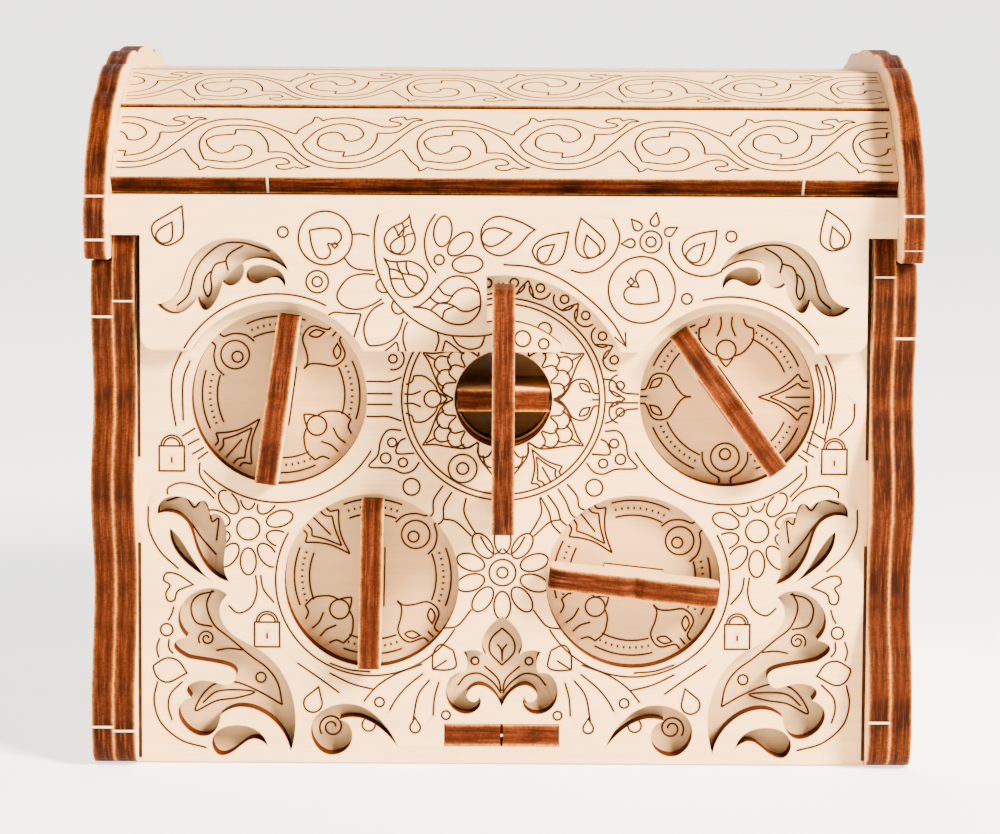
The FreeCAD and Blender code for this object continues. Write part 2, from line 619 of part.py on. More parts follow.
def make_code_wheel(name, centre, angle, place):
    """A wheel with one bite, round about the key's axis, which faces the rotor at rest."""
    radius = size("wheel_radius")
    bite = size("bite_radius")
    away = (-centre[0], axis_z - centre[1])
    gap = math.hypot(*away)
    facing = math.degrees(math.atan2(away[1], away[0]))
    half_bite = math.degrees(math.acos((gap ** 2 + radius ** 2 - bite ** 2) / (2 * gap * radius)))
    start = polar((0, 0), radius, facing + half_bite)
    end = polar((0, 0), radius, facing - half_bite)
    deepest = polar((0, 0), gap - bite, facing)
    outline = [arc(start, polar((0, 0), radius, facing + 180), end), arc(end, deepest, start)]
    hole = slot(0, 0, size("tab_half_width") + fit, ply / 2 + fit, angle)
    front_plate(name + "_code_wheel", outline, [hole], [], "Sizes.wheel_front", place)


make_case()
make_lid()
make_key()
for dial, (dial_x, dial_z, dial_angle) in DIALS.items():
    make_dial(dial, dial_x, dial_z, dial_angle)
doc.recompute()

# ---- check and write ------------------------------------------------------------------

for thing in doc.Objects:
    if "Invalid" in thing.State or "Error" in thing.State:
        raise RuntimeError("%s failed: %s" % (thing.Name, thing.State))

pieces = [o for o in doc.Objects if o.TypeId in ("PartDesign::Body", "Part::Cylinder")]
os.makedirs("parts", exist_ok=True)
for piece in pieces:
    if piece.Shape.isNull() or not piece.Shape.isValid() or len(piece.Shape.Solids) != 1:
        raise RuntimeError("%s is not one valid solid" % piece.Label)
for piece in pieces:
    piece.Shape.exportStep(os.path.join("parts", piece.Label + ".step"))
print(len(pieces), "parts written")
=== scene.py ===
import json
import math

import bpy
import numpy as np
from mathutils import Euler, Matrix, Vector
from mathutils.geometry import delaunay_2d_cdt

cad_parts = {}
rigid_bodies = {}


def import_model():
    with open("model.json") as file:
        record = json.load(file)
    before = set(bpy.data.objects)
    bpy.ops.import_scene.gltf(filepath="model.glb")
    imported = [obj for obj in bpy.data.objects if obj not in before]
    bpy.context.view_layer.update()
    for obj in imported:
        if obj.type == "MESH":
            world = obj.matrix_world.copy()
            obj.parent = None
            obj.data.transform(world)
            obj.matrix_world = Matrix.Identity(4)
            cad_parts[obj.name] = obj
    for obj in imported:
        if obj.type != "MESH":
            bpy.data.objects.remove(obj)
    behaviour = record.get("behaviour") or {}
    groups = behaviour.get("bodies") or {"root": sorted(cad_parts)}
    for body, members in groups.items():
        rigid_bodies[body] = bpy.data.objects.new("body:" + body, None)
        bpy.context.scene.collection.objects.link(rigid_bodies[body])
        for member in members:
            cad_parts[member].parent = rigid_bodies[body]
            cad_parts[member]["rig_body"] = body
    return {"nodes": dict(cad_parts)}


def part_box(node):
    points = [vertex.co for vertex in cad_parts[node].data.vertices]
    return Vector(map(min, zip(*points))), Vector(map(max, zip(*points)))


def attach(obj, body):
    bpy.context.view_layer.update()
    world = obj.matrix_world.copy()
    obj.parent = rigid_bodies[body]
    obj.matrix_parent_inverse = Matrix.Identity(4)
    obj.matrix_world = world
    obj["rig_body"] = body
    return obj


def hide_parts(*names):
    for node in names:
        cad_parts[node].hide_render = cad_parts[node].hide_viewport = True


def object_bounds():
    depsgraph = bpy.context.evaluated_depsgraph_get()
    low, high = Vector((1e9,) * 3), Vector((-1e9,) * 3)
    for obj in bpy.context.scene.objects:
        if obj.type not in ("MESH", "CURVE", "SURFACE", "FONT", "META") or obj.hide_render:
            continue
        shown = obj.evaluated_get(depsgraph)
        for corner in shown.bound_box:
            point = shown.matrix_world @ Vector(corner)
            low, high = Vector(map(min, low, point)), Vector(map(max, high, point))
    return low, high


MM = 0.001
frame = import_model()
CAD_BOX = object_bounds()
NODES = frame["nodes"]
PLY = 3.0                               # plate thickness, mm
LINE = 0.135                            # half width of an engraved line, mm
HALO = 0.30                             # how far the laser browned the wood beside a line
DEPTH = 0.16                            # depth of an engraved line
EDGE_HALO = 0.22                        # browned rim beside a cut edge
STEP = 0.45                             # spacing of points along a drawn line
FRONT_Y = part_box("front_panel")[0].y / MM
NIB = 0.16                              # half width of the pale mark that a nib leaves on an edge
FRONT = FRONT_Y - 3
# where the nibs were, in mm
NIBS = {
    "lid_end_left": [(-57, FRONT - 5, 79.7), (-57, FRONT - 5, 73.8)],
    "lid_end_right": [(57, FRONT - 5, 77.4), (57, FRONT - 5, 72.8)],
    "inner_side_left": [(-54, FRONT, 64.9), (-54, FRONT, 5.4)],
    "outer_side_left": [(-57, FRONT, 62.7), (-57, FRONT, 5.9)],
    "inner_side_right": [(54, FRONT, 68.8), (54, FRONT, 7.0)],
    "outer_side_right": [(57, FRONT, 60.0)],
    "lid_front_lower_plank": [(-32.5, FRONT - 5, 78), (41.0, FRONT - 5, 78)],
}

# ---- drawing: every stroke is a list of (x, y) in mm on its plate -----------------------


def smooth(points, closed=False, step=STEP):
    """A smooth line through the points: a uniform Catmull-Rom curve."""
    pts = [np.array(p, float) for p in points]
    if closed:
        pts = [pts[-1]] + pts + [pts[0], pts[1]]
    else:
        pts = [2 * pts[0] - pts[1]] + pts + [2 * pts[-1] - pts[-2]]
    out = []
    for a, b, c, d in zip(pts, pts[1:], pts[2:], pts[3:]):
        count = max(2, int(np.linalg.norm(c - b) / step) + 1)
        for i in range(count):
            t = i / count
            out.append(0.5 * (2 * b + (c - a) * t + (2 * a - 5 * b + 4 * c - d) * t * t
                              + (3 * b - a - 3 * c + d) * t ** 3))
    out.append(out[0] if closed else pts[-2])
    return [tuple(p) for p in out]


def arc(cx, cy, r, start=0.0, end=360.0, squash=1.0, turn=0.0):
    """Part of a circle, or of an ellipse turned by turn degrees."""
    count = max(8, int(abs(end - start) / 360 * 2 * math.pi * r / STEP) + 1)
    ca, sa = math.cos(math.radians(turn)), math.sin(math.radians(turn))
    out = []
    for i in range(count + 1):
        a = math.radians(start + (end - start) * i / count)
        u, v = r * math.cos(a), r * squash * math.sin(a)
        out.append((cx + u * ca - v * sa, cy + u * sa + v * ca))
    return out


def placed(strokes, cx=0.0, cy=0.0, turn=0.0, scale=1.0):
    """The strokes turned, scaled and moved."""
    ca, sa = math.cos(math.radians(turn)) * scale, math.sin(math.radians(turn)) * scale
    out = []
    for stroke in strokes:
        moved = []
        for x, y in stroke:
            moved.append((cx + x * ca - y * sa, cy + x * sa + y * ca))
        out.append(moved)
    return out


def mirror(strokes):
    return [[(-x, y) for x, y in stroke] for stroke in strokes]


def curves(*lists):
    """A smooth line through each list of points."""
    return [smooth(points) for points in lists]


def rings(*circles):
    """Circles of (x, y, radius)."""
    return [arc(x, y, r) for x, y, r in circles]


def ellipses(*shapes):
    """Ellipses of (x, y, long radius, squash, turn)."""
    return [arc(x, y, r, 0, 360, squash, turn) for x, y, r, squash, turn in shapes]


def drops(*shapes):
    """Teardrops of (tip x, tip y, round end's x, y, radius)."""
    out = []
    for tip_x, tip_y, x, y, r in shapes:
        facing = math.degrees(math.atan2(tip_y - y, tip_x - x))
        out.append([(tip_x, tip_y)] + arc(x, y, r, facing + 65, facing + 295) + [(tip_x, tip_y)])
    return out


def heart(x, y, scale, turn):
    """A heart whose tip points down before it is turned."""
    half = smooth([(0, 0.25), (0.25, 0.62), (0.62, 0.62), (0.8, 0.25), (0.5, -0.3), (0, -0.8)],
                  step=0.1)
    return placed([half] + mirror([half]), x, y, turn, scale)


def flower(x, y, middle, reach, petal, count):
    """A ringed middle with petals about it."""
    out = [arc(x, y, middle)]
    for i in range(count):
        turn = 90 + 360 / count * i
        place = (x + reach * math.cos(math.radians(turn)), y + reach * math.sin(math.radians(turn)))
        out.append(arc(place[0], place[1], petal, 0, 360, 0.58, turn))
    return out


def padlock(x, y):
    """A small padlock, with its keyhole as a short line."""
    half = 1.75
    body = [(x - half, y - half), (x + half, y - half), (x + half, y + half), (x - half, y + half)]
    return [body + body[:1], arc(x, y + half, 1.5, 0, 180), arc(x, y + half, 1.15, 0, 180),
            [(x, y + 0.2), (x, y - 0.6)]]


def spiral(x, y, inner, outer, turns=1.6):
    out = []
    count = int(24 * turns)
    for i in range(count + 1):
        r = inner + (outer - inner) * i / count
        a = 2 * math.pi * turns * i / count
        out.append((x + r * math.cos(a), y + r * math.sin(a)))
    return out


# ---- plates: a CAD node's outline becomes a carved, closed mesh -------------------------


def plate_frame(node):
    """Origin, u, v and outward normal of a CAD plate, from its largest flat face."""
    mesh = NODES[node].data
    areas = {}
    for poly in mesh.polygons:
        # a wedge's long sides taper, so it is taken by its front, which is as flat as the sheet
        if node.endswith("_wedge") and abs(poly.normal.y) < 0.9:
            continue
        key = tuple(round(c, 2) for c in poly.normal)
        areas[key] = areas.get(key, 0.0) + poly.area
    key = max(areas, key=areas.get)
    best = max((p for p in mesh.polygons if tuple(round(c, 2) for c in p.normal) == key),
               key=lambda p: p.area)
    n = best.normal.copy()
    middle = (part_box(node)[0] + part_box(node)[1]) / 2
    whole = (CAD_BOX[0] + CAD_BOX[1]) / 2
    outward = n.dot(middle - whole)
    if abs(n.y) > 0.9:
        front = -1.0 if node not in ("back_panel", "lid_back") else 1.0
        outward = n.y * front
    if abs(n.z) > 0.6:
        outward = n.z
    if outward < 0:
        n = -n
    if abs(n.x) > 0.9 or "_grip" in node or node == "key_plate":
        u = Vector((0, 1, 0))
    elif abs(n.y) > 0.9 and n.y > 0:
        u = Vector((-1, 0, 0))
    else:
        u = Vector((1, 0, 0))
    u = (u - n * u.dot(n)).normalized()
    v = n.cross(u)
    reach = max((Vector(p.co).dot(n) for p in mesh.vertices))
    return n * reach, u, v, n


def outline_loops(node, origin, u, v, n):
    """The loops of the plate's outer face, in mm on the plate; the one with the largest box is first."""
    mesh = NODES[node].data
    top = origin.dot(n)
    on_top = [abs(p.co.dot(n) - top) < 2e-6 for p in mesh.vertices]
    keys = {}
    index = []
    for p in mesh.vertices:
        key = (round(p.co.dot(u) / MM, 4), round(p.co.dot(v) / MM, 4))
        index.append(keys.setdefault(key, len(keys)))
    spots = list(keys)
    count = {}
    for poly in mesh.polygons:
        if not all(on_top[i] for i in poly.vertices):
            continue
        ring = [index[i] for i in poly.vertices]
        for a, b in zip(ring, ring[1:] + ring[:1]):
            if a != b:
                count[(a, b)] = count.get((a, b), 0) + 1
    following = {a: b for (a, b) in count if (b, a) not in count}
    loops = []
    while following:
        start = next(iter(following))
        loop, here = [], start
        while here in following:
            loop.append(here)
            here = following.pop(here)
        loops.append(thinned([spots[i] for i in loop]))
    loops.sort(key=lambda l: -(max(p[0] for p in l) - min(p[0] for p in l))
               * (max(p[1] for p in l) - min(p[1] for p in l)))
    return loops


def thinned(loop, least=0.12, bend=0.004):
    """Leaves out points that are nearly in line with their neighbours."""
    out = []
    count = len(loop)
    for i, here in enumerate(loop):
        before = out[-1] if out else loop[i - 1]
        after = loop[(i + 1) % count]
        run = math.hypot(after[0] - before[0], after[1] - before[1])
        if run == 0:
            continue
        off = abs((here[0] - before[0]) * (after[1] - before[1])
                  - (here[1] - before[1]) * (after[0] - before[0])) / run
        if off < bend and run < 6 and math.dist(here, before) < 4:
            if math.dist(here, before) < least or off < bend / 4:
                continue
        out.append(here)
    return out


def ribbon(stroke, half):
    """The quads of a band along a stroke."""
    pts = [np.array(p, float) for p in stroke]
    spaced = [pts[0]]
    for p in pts[1:]:
        if np.linalg.norm(p - spaced[-1]) > 0.02:
            spaced.append(p)
    if len(spaced) < 2:
        return []
    closed = np.linalg.norm(spaced[0] - spaced[-1]) < 0.05 and len(spaced) > 3
    if closed:
        spaced = spaced[:-1]
    count = len(spaced)
    sides = []
    for i, p in enumerate(spaced):
        before = spaced[i - 1] if i or closed else None
        after = spaced[(i + 1) % count] if i < count - 1 or closed else None
        a = (p - before) / np.linalg.norm(p - before) if before is not None else None
        b = (after - p) / np.linalg.norm(after - p) if after is not None else None
        a = b if a is None else a
        b = a if b is None else b
        along = a + b
        long = np.linalg.norm(along)
        along = along / long if long > 0.3 else b
        normal = np.array((-along[1], along[0]))
        reach = half / max(0.55, abs(normal.dot((-b[1], b[0]))))
        sides.append((p + normal * reach, p - normal * reach))
    spans = range(count) if closed else range(count - 1)
    quads = []
    for i in spans:
        (l0, r0), (l1, r1) = sides[i], sides[(i + 1) % count]
        quads.append((tuple(l0), tuple(r0), tuple(r1), tuple(l1)))
    return quads


def doubled_area(ring):
    return sum(a[0] * b[1] - b[0] * a[1] for a, b in zip(ring, ring[1:] + ring[:1]))


def convex(ring):
    """Whether a quad turns the same way at every corner."""
    turns = [doubled_area([ring[i - 2], ring[i - 1], ring[i]]) for i in range(len(ring))]
    return min(turns) > 1e-7 or max(turns) < -1e-7


def nibbed(loops, nibs):
    """Splits the nearest edge round each nib, the short bridge that held the plate in its sheet."""
    centres = []
    for nib in nibs:
        best = None
        for loop in loops:
            for i, a in enumerate(loop):
                a, b = np.array(a), np.array(loop[(i + 1) % len(loop)])
                along = b - a
                t = np.clip((nib - a).dot(along) / max(along.dot(along), 1e-9), 0, 1)
                gap = np.linalg.norm(a + along * t - nib)
                if best is None or gap < best[0]:
                    best = (gap, loop, i, a + along * t, along / np.linalg.norm(along))
        gap, loop, i, spot, along = best
        loop[i + 1:i + 1] = [tuple(spot - along * NIB), tuple(spot + along * NIB)]
        centres.append(spot)
    return centres


def carve(node, strokes=()):
    """A closed mesh of the plate with its engraved lines as real grooves."""
    origin, u, v, n = plate_frame(node)
    loops = outline_loops(node, origin, u, v, n)
    nibs = [np.array((Vector(p).dot(u), Vector(p).dot(v))) for p in NIBS.get(node, ())]
    nibs = nibbed(loops, nibs)
    spots, faces = [], []

    def add(ring):
        turn = doubled_area(ring)
        if len(ring) == 4 and not convex(ring):
            add([ring[0], ring[1], ring[2]])
            add([ring[0], ring[2], ring[3]])
            return
        if abs(turn) < 1e-4:
            return
        if turn < 0:
            ring = ring[::-1]
        start = len(spots)
        spots.extend(Vector(p) for p in ring)
        faces.append(list(range(start, start + len(ring))))

    for loop in loops:
        add(loop)
    holes_end = len(faces)
    for stroke in strokes:
        for quad in ribbon(stroke, LINE):
            add(quad)
    grooves_end = len(faces)
    for stroke in strokes:
        for quad in ribbon(stroke, LINE + HALO):
            add(quad)
    for loop in loops:
        for quad in ribbon(loop + loop[:1], EDGE_HALO):
            add(quad)
    made = delaunay_2d_cdt(spots, [], faces, 0, 1e-5, True)
    verts, tris, sources = made[0], made[2], made[5]
    kinds = []
    for ids in sources:
        inside = 0 in ids and not any(0 < i < holes_end for i in ids)
        groove = any(holes_end <= i < grooves_end for i in ids)
        kinds.append(0 if not inside else 2 if groove else 1)
    return plate_mesh(node, origin, u, v, n, verts, tris, kinds, nibs)


def plate_mesh(node, origin, u, v, n, spots, tris, kinds, nibs):
    """Builds top, groove floors, back and walls from the classified triangles."""
    owner = {}
    touches = [set() for _ in spots]
    for t, tri in enumerate(tris):
        for a, b in zip(tri, tri[1:] + tri[:1]):
            owner[(a, b)] = t
        for i in tri:
            touches[i].add(kinds[t])
    rim = set()
    for (a, b), t in owner.items():
        other = kinds[owner[(b, a)]] if (b, a) in owner else 0
        if kinds[t] and not other:
            rim.update((a, b))
    places, uvd, scorch, level = [], [], [], {}

    def vertex(i, which):
        if (i, which) in level:
            return level[(i, which)]
        down = {"top": 0.0, "floor": DEPTH, "back": PLY}[which]
        x, y = spots[i]
        places.append((u * x + v * y) * MM + n * (origin.dot(n) - down * MM))
        uvd.append((x, y, down))
        beside = which == "top" and 2 in touches[i]
        scorch.append(1.0 if which == "floor" or i in rim or beside else 0.0)
        level[(i, which)] = len(places) - 1
        return len(places) - 1

    polys, slots = [], []
    upper = {1: "top", 2: "floor"}
    for t, tri in enumerate(tris):
        if not kinds[t]:
            continue
        polys.append([vertex(i, upper[kinds[t]]) for i in tri])
        slots.append(0 if kinds[t] == 1 else 1)
        polys.append([vertex(i, "back") for i in reversed(tri)])
        slots.append(0)
    for (a, b), t in owner.items():
        if not kinds[t]:
            continue
        other = kinds[owner[(b, a)]] if (b, a) in owner else 0
        if not other:
            ring = [vertex(b, upper[kinds[t]]), vertex(a, upper[kinds[t]])]
            if kinds[t] == 1 and 2 in touches[a]:
                ring.append(vertex(a, "floor"))
            ring += [vertex(a, "back"), vertex(b, "back")]
            if kinds[t] == 1 and 2 in touches[b]:
                ring.append(vertex(b, "floor"))
            polys.append(ring)
            middle = np.array((spots[a] + spots[b]) / 2)
            slots.append(3 if any(np.linalg.norm(middle - nib) < NIB / 2 for nib in nibs) else 2)
        elif kinds[t] == 2 and other == 1:
            polys.append([vertex(b, "floor"), vertex(a, "floor"), vertex(a, "top"), vertex(b, "top")])
            slots.append(1)
    mesh = bpy.data.meshes.new(node + "_carved")
    mesh.from_pydata([tuple(p) for p in places], [], polys)
    mesh.update()
    mesh.polygons.foreach_set("material_index", slots)
    plate = mesh.attributes.new("plate", "FLOAT_VECTOR", "POINT")
    plate.data.foreach_set("vector", np.array(uvd, np.float32).ravel())
    burnt = mesh.attributes.new("scorch", "FLOAT", "POINT")
    burnt.data.foreach_set("value", np.array(scorch, np.float32))
    tone = mesh.attributes.new("tone", "FLOAT", "POINT")
    shade = (sum(ord(c) * (i + 3) for i, c in enumerate(node)) % 17) / 16
    tone.data.foreach_set("value", np.full(len(places), shade, np.float32))
    piece = bpy.data.objects.new(node + "_carved", mesh)
    bpy.context.scene.collection.objects.link(piece)
    # the dial discs and the backing panel sit in recesses, so they take the darker veneer: painted
    # recess shade, with some smoke stain
    veneer = SMOKED_AND_SHADED if node.endswith("_disc") or node == "backing_panel" else BIRCH
    edge = SCORCHED if node.startswith(("inner_side", "outer_side")) else CHARRED
    for material in (veneer, BURNT_LINE, edge, DOWEL):
        mesh.materials.append(material)
    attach(piece, NODES[node]["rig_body"])
    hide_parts(node)
    return piece


# ---- materials --------------------------------------------------------------------------


class Tree:
    """A short way to write a material's nodes."""

    def __init__(self, name):
        self.material = bpy.data.materials.new(name)
        self.material.use_nodes = True
        self.nodes = self.material.node_tree.nodes
        self.links = self.material.node_tree.links
        self.shader = self.nodes["Principled BSDF"]

    def add(self, kind, inputs=(), **settings):
        node = self.nodes.new(kind)
        for key, value in settings.items():
            setattr(node, key, value)
        for key, value in dict(inputs).items():
            self.put(node.inputs[key], value)
        return node

    def put(self, socket, value):
        if isinstance(value, bpy.types.NodeSocket):
            self.links.new(value, socket)
        else:
            socket.default_value = value

    def maths(self, operation, a, b=0.0, c=0.0, clamp=False):
        node = self.add("ShaderNodeMath", {0: a, 1: b, 2: c}, operation=operation, use_clamp=clamp)
        return node.outputs[0]

    def mix(self, factor, a, b, blend="MIX"):
        node = self.add("ShaderNodeMix", data_type="RGBA", blend_type=blend)
        self.put(node.inputs["Factor"], factor)
        self.put(node.inputs["A"], a)
        self.put(node.inputs["B"], b)
        return node.outputs["Result"]

    def noise(self, vector, scale, detail=2.0, roughness=0.5):
        node = self.add("ShaderNodeTexNoise", {"Vector": vector, "Scale": scale, "Detail": detail,
                                               "Roughness": roughness})
        return node.outputs["Fac"]

    def ramp(self, value, *stops):
        node = self.add("ShaderNodeValToRGB", {"Fac": value})
        bar = node.color_ramp.elements
        while len(bar) < len(stops):
            bar.new(0.5)
        for element, (place, colour) in zip(bar, stops):
            element.position = place
            element.color = colour if len(colour) == 4 else (*colour, 1)
        return node.outputs["Color"]

    def attribute(self, name, output="Vector"):
        return self.add("ShaderNodeAttribute", attribute_name=name).outputs[output]

    def scaled(self, vector, scale):
        return self.add("ShaderNodeVectorMath", {0: vector, 1: scale}, operation="MULTIPLY").outputs[0]


def grey(value):
    return (value, value, value, 1)


def birch(name, smoke_and_shade):
    """Birch veneer: fine grain along u, soft broad bands, browned beside the burn; the smoke factor
    darkens the whole face, part smoke stain and part painted shade of the recesses.
    """
    m = Tree(name)
    plate = m.attribute("plate")
    tone = m.attribute("tone", "Fac")
    moved = m.add("ShaderNodeVectorMath", {0: plate, 1: m.scaled(m.add("ShaderNodeCombineXYZ", {
        0: tone, 1: tone, 2: tone}).outputs[0], (190, 230, 0))}, operation="ADD").outputs[0]
    flat = m.scaled(moved, (1, 1, 0))
    fine = m.noise(m.scaled(flat, (0.16, 5.5, 1)), 1.0, 4, 0.65)
    bands = m.noise(m.scaled(flat, (0.035, 0.55, 1)), 1.0, 3, 0.55)
    cloud = m.noise(flat, 0.06, 2)
    pores = m.noise(m.scaled(flat, (0.9, 9.0, 1)), 1.0, 2)
    pore = m.ramp(pores, (0.66, grey(0)), (0.74, grey(1)))
    base = m.ramp(bands, (0.3, (0.74, 0.445, 0.17)), (0.5, (0.80, 0.505, 0.205)),
                  (0.72, (0.84, 0.565, 0.255)))
    base = m.mix(m.ramp(fine, (0.42, grey(0.0)), (0.75, grey(0.55))), base, (0.66, 0.37, 0.15, 1))
    base = m.mix(m.maths("MULTIPLY", cloud, 0.16), base, (0.92, 0.69, 0.42, 1))
    base = m.mix(m.maths("MULTIPLY", pore, 0.10), base, (0.55, 0.32, 0.16, 1))
    base = m.mix(m.maths("MULTIPLY", tone, 0.10), base, (0.83, 0.58, 0.36, 1))
    burn = m.attribute("scorch", "Fac")
    patch = m.noise(plate, 0.9, 2)
    halo = m.maths("POWER", burn, 1.6)
    halo = m.maths("MULTIPLY", halo, m.maths("MULTIPLY_ADD", patch, 0.9, 0.20), clamp=True)
    base = m.mix(halo, base, (0.52, 0.22, 0.07, 1))
    # painted shade: recessed plates get a darker, browner veneer that stands in for the shade in the
    # recesses, with some smoke stain
    base = m.mix(smoke_and_shade, base, (0.34, 0.145, 0.03, 1))
    m.put(m.shader.inputs["Base Color"], base)
    m.put(m.shader.inputs["Roughness"], m.maths("MULTIPLY_ADD", fine, 0.16, 0.50))
    bump = m.add("ShaderNodeBump", {"Height": fine, "Strength": 0.12, "Distance": 0.00006})
    m.put(m.shader.inputs["Normal"], bump.outputs["Normal"])
    m.shader.inputs["Specular IOR Level"].default_value = 0.3
    return m.material


def burnt_line():
    """The floor of an engraved line: unevenly browned by the laser."""
    m = Tree("engraved_line")
    plate = m.attribute("plate")
    patch = m.noise(plate, 0.45, 3)
    grain = m.noise(plate, 4.0, 2)
    base = m.ramp(patch, (0.36, (0.012, 0.003, 0.001)), (0.56, (0.032, 0.009, 0.003)),
                  (0.78, (0.11, 0.034, 0.009)))
    base = m.mix(m.maths("MULTIPLY", grain, 0.25), base, (0.10, 0.032, 0.010, 1))
    m.put(m.shader.inputs["Base Color"], base)
    m.shader.inputs["Roughness"].default_value = 0.85
    m.shader.inputs["Specular IOR Level"].default_value = 0.1
    return m.material


def charred(name, extra):
    """A laser-cut edge: three plies streaked through their thickness, with extra soot over all."""
    m = Tree(name)
    plate = m.attribute("plate")
    parts = m.add("ShaderNodeSeparateXYZ", {0: plate})
    depth = m.maths("DIVIDE", parts.outputs["Z"], PLY)
    speckle = m.noise(m.scaled(plate, (3.0, 3.0, 2.2)), 1.0, 4, 0.7)
    streak = m.noise(m.scaled(plate, (0.16, 0.16, 3.2)), 1.0, 3, 0.6)
    patch = m.noise(m.scaled(plate, (0.17, 0.17, 0.12)), 1.0, 3, 0.6)
    wander = m.noise(m.scaled(plate, (0.45, 0.45, 0.2)), 1.0, 2)
    shifted = m.maths("ADD", depth, m.maths("MULTIPLY_ADD", wander, 0.12, -0.06))
    plies = m.ramp(shifted, (0.015, (0.50, 0.22, 0.06)), (0.06, (0.24, 0.062, 0.009)),
                   (0.14, (0.075, 0.015, 0.002)), (0.32, (0.032, 0.006, 0.0015)),
                   (0.50, (0.085, 0.016, 0.003)), (0.68, (0.032, 0.006, 0.0015)),
                   (0.86, (0.075, 0.015, 0.002)), (0.94, (0.24, 0.062, 0.009)),
                   (0.985, (0.50, 0.22, 0.06)))
    dark = m.ramp(patch, (0.42, grey(0.0)), (0.62, grey(0.85)))
    inner = m.ramp(depth, (0.06, grey(0.0)), (0.16, grey(1.0)), (0.84, grey(1.0)), (0.94, grey(0.0)))
    base = m.mix(m.maths("MULTIPLY", dark, inner), plies, (0.008, 0.002, 0.001, 1))
    lit = m.ramp(streak, (0.50, grey(0.0)), (0.72, grey(0.55)))
    base = m.mix(m.maths("MULTIPLY", lit, inner), base, (0.22, 0.048, 0.008, 1))
    soot = m.ramp(speckle, (0.46, grey(0.0)), (0.68, grey(0.75)))
    base = m.mix(soot, base, (0.015, 0.004, 0.001, 1))
    base = m.mix(extra, base, (0.015, 0.004, 0.001, 1))
    m.put(m.shader.inputs["Base Color"], base)
    m.put(m.shader.inputs["Roughness"], m.maths("MULTIPLY_ADD", speckle, 0.25, 0.52))
    bump = m.add("ShaderNodeBump", {"Height": speckle, "Strength": 0.35, "Distance": 0.00012})
    m.put(m.shader.inputs["Normal"], bump.outputs["Normal"])
    m.shader.inputs["Specular IOR Level"].default_value = 0.03
    return m.material


def dowel_wood():
    m = Tree("dowel_wood")
    spot = m.add("ShaderNodeTexCoord").outputs["Object"]
    grain = m.noise(m.scaled(spot, (400, 3000, 3000)), 1.0, 3)
    base = m.ramp(grain, (0.3, (0.55, 0.36, 0.19)), (0.7, (0.80, 0.62, 0.42)))
    m.put(m.shader.inputs["Base Color"], base)
    m.shader.inputs["Roughness"].default_value = 0.6
    return m.material


BIRCH = birch("birch_veneer", 0.0)
# the darker veneer for the recessed plates: painted shade of the recesses, partly smoke stain
SMOKED_AND_SHADED = birch("smoked_veneer", 0.42)
BURNT_LINE = burnt_line()
CHARRED = charred("charred_edge", 0.0)
SCORCHED = charred("scorched_edge", 0.26)
DOWEL = dowel_wood()

# ---- the drawings -----------------------------------------------------------------------

# The four signs of the code point outward along x; each is symmetric about that line.
SPADE = curves([(4.8, 0), (5.9, 0.2), (6.9, 1.33), (7.85, 2.85), (9.24, 3.27), (10.3, 2.85), (10.9, 1.6),
                (11.3, 1.0), (12.1, 1.0)],
               [(10.6, 1.2), (10.1, 2.3), (8.95, 2.57), (9.4, 1.5), (10.6, 1.2)],
               [(10.9, 0), (12.1, 0)])
TENT = curves([(4.55, 0), (7.1, 0.9), (8.75, 2.0), (10.1, 3.3)],
              [(10.1, 3.3), (10.75, 2.3), (11.5, 2.27)],
              [(6.2, 0), (8.5, 1.02), (10.1, 2.0)],
              [(10.1, 2.0), (10.75, 1.38), (11.75, 1.3)],
              [(8.34, 0), (11.8, 0)])
BIRD = curves([(5.78, 1.1), (4.9, 0.6), (4.2, 0)],
              [(9.6, 3.8), (7.95, 3.7), (6.3, 2.4), (5.75, 1.2)],
              [(9.6, 3.85), (10.0, 2.8), (11.0, 2.35)],
              [(11.25, 0.8), (9.9, 0.75), (8.5, 1.3)]) + rings((6.6, 0, 1.38))
RING = curves([(7.7, 3.2), (9.2, 3.07), (10.6, 2.1), (11.4, 0.85), (12.2, 0.85)])
RING += rings((8.5, 0, 1.99), (8.06, 0, 0.78))
SIGNS = {45: SPADE, 135: RING, 225: TENT, 315: BIRD}


def with_reflection(strokes):
    return strokes + [[(x, -y) for x, y in stroke] for stroke in strokes]


def dial_drawing(x, z, turn):
    """The face of a dial's disc: four signs, with arcs and a row of dots between them."""
    art = []
    for facing, strokes in SIGNS.items():
        art += placed(with_reflection(strokes), turn=facing)
    for middle in range(0, 360, 90):
        art += [arc(0, 0, r, middle - 22, middle + 22) for r in (8.9, 11.0)]
        for dot in range(middle - 20, middle + 21, 5):
            art += placed([[(9.75, 0), (10.1, 0)]], turn=dot)
    return placed(art, x, z, turn)


AXIS_Z = 51.3                           # height of the key's axis
UPPER_DIAL = (31.05, 51.4)              # the right dials' middles; the left ones mirror them
LOWER_DIAL = (18.2, 25.75)
UPPER_RING = 14.7                       # radii of the lines round the dials
LOWER_RING = 13.4
RING_GAP = 0.3                          # how far the left flower's petals stop from those lines


def polar(r, angle):
    return (r * math.cos(math.radians(angle)), r * math.sin(math.radians(angle)))


def scallop(r, middle, half, rise):
    """A scale of the rosette's net: it bulges outward between two spots at radius r."""
    return smooth([polar(r, middle - half), polar(r + rise * 0.8, middle - half * 0.55),
                   polar(r + rise, middle), polar(r + rise * 0.8, middle + half * 0.55),
                   polar(r, middle + half)])


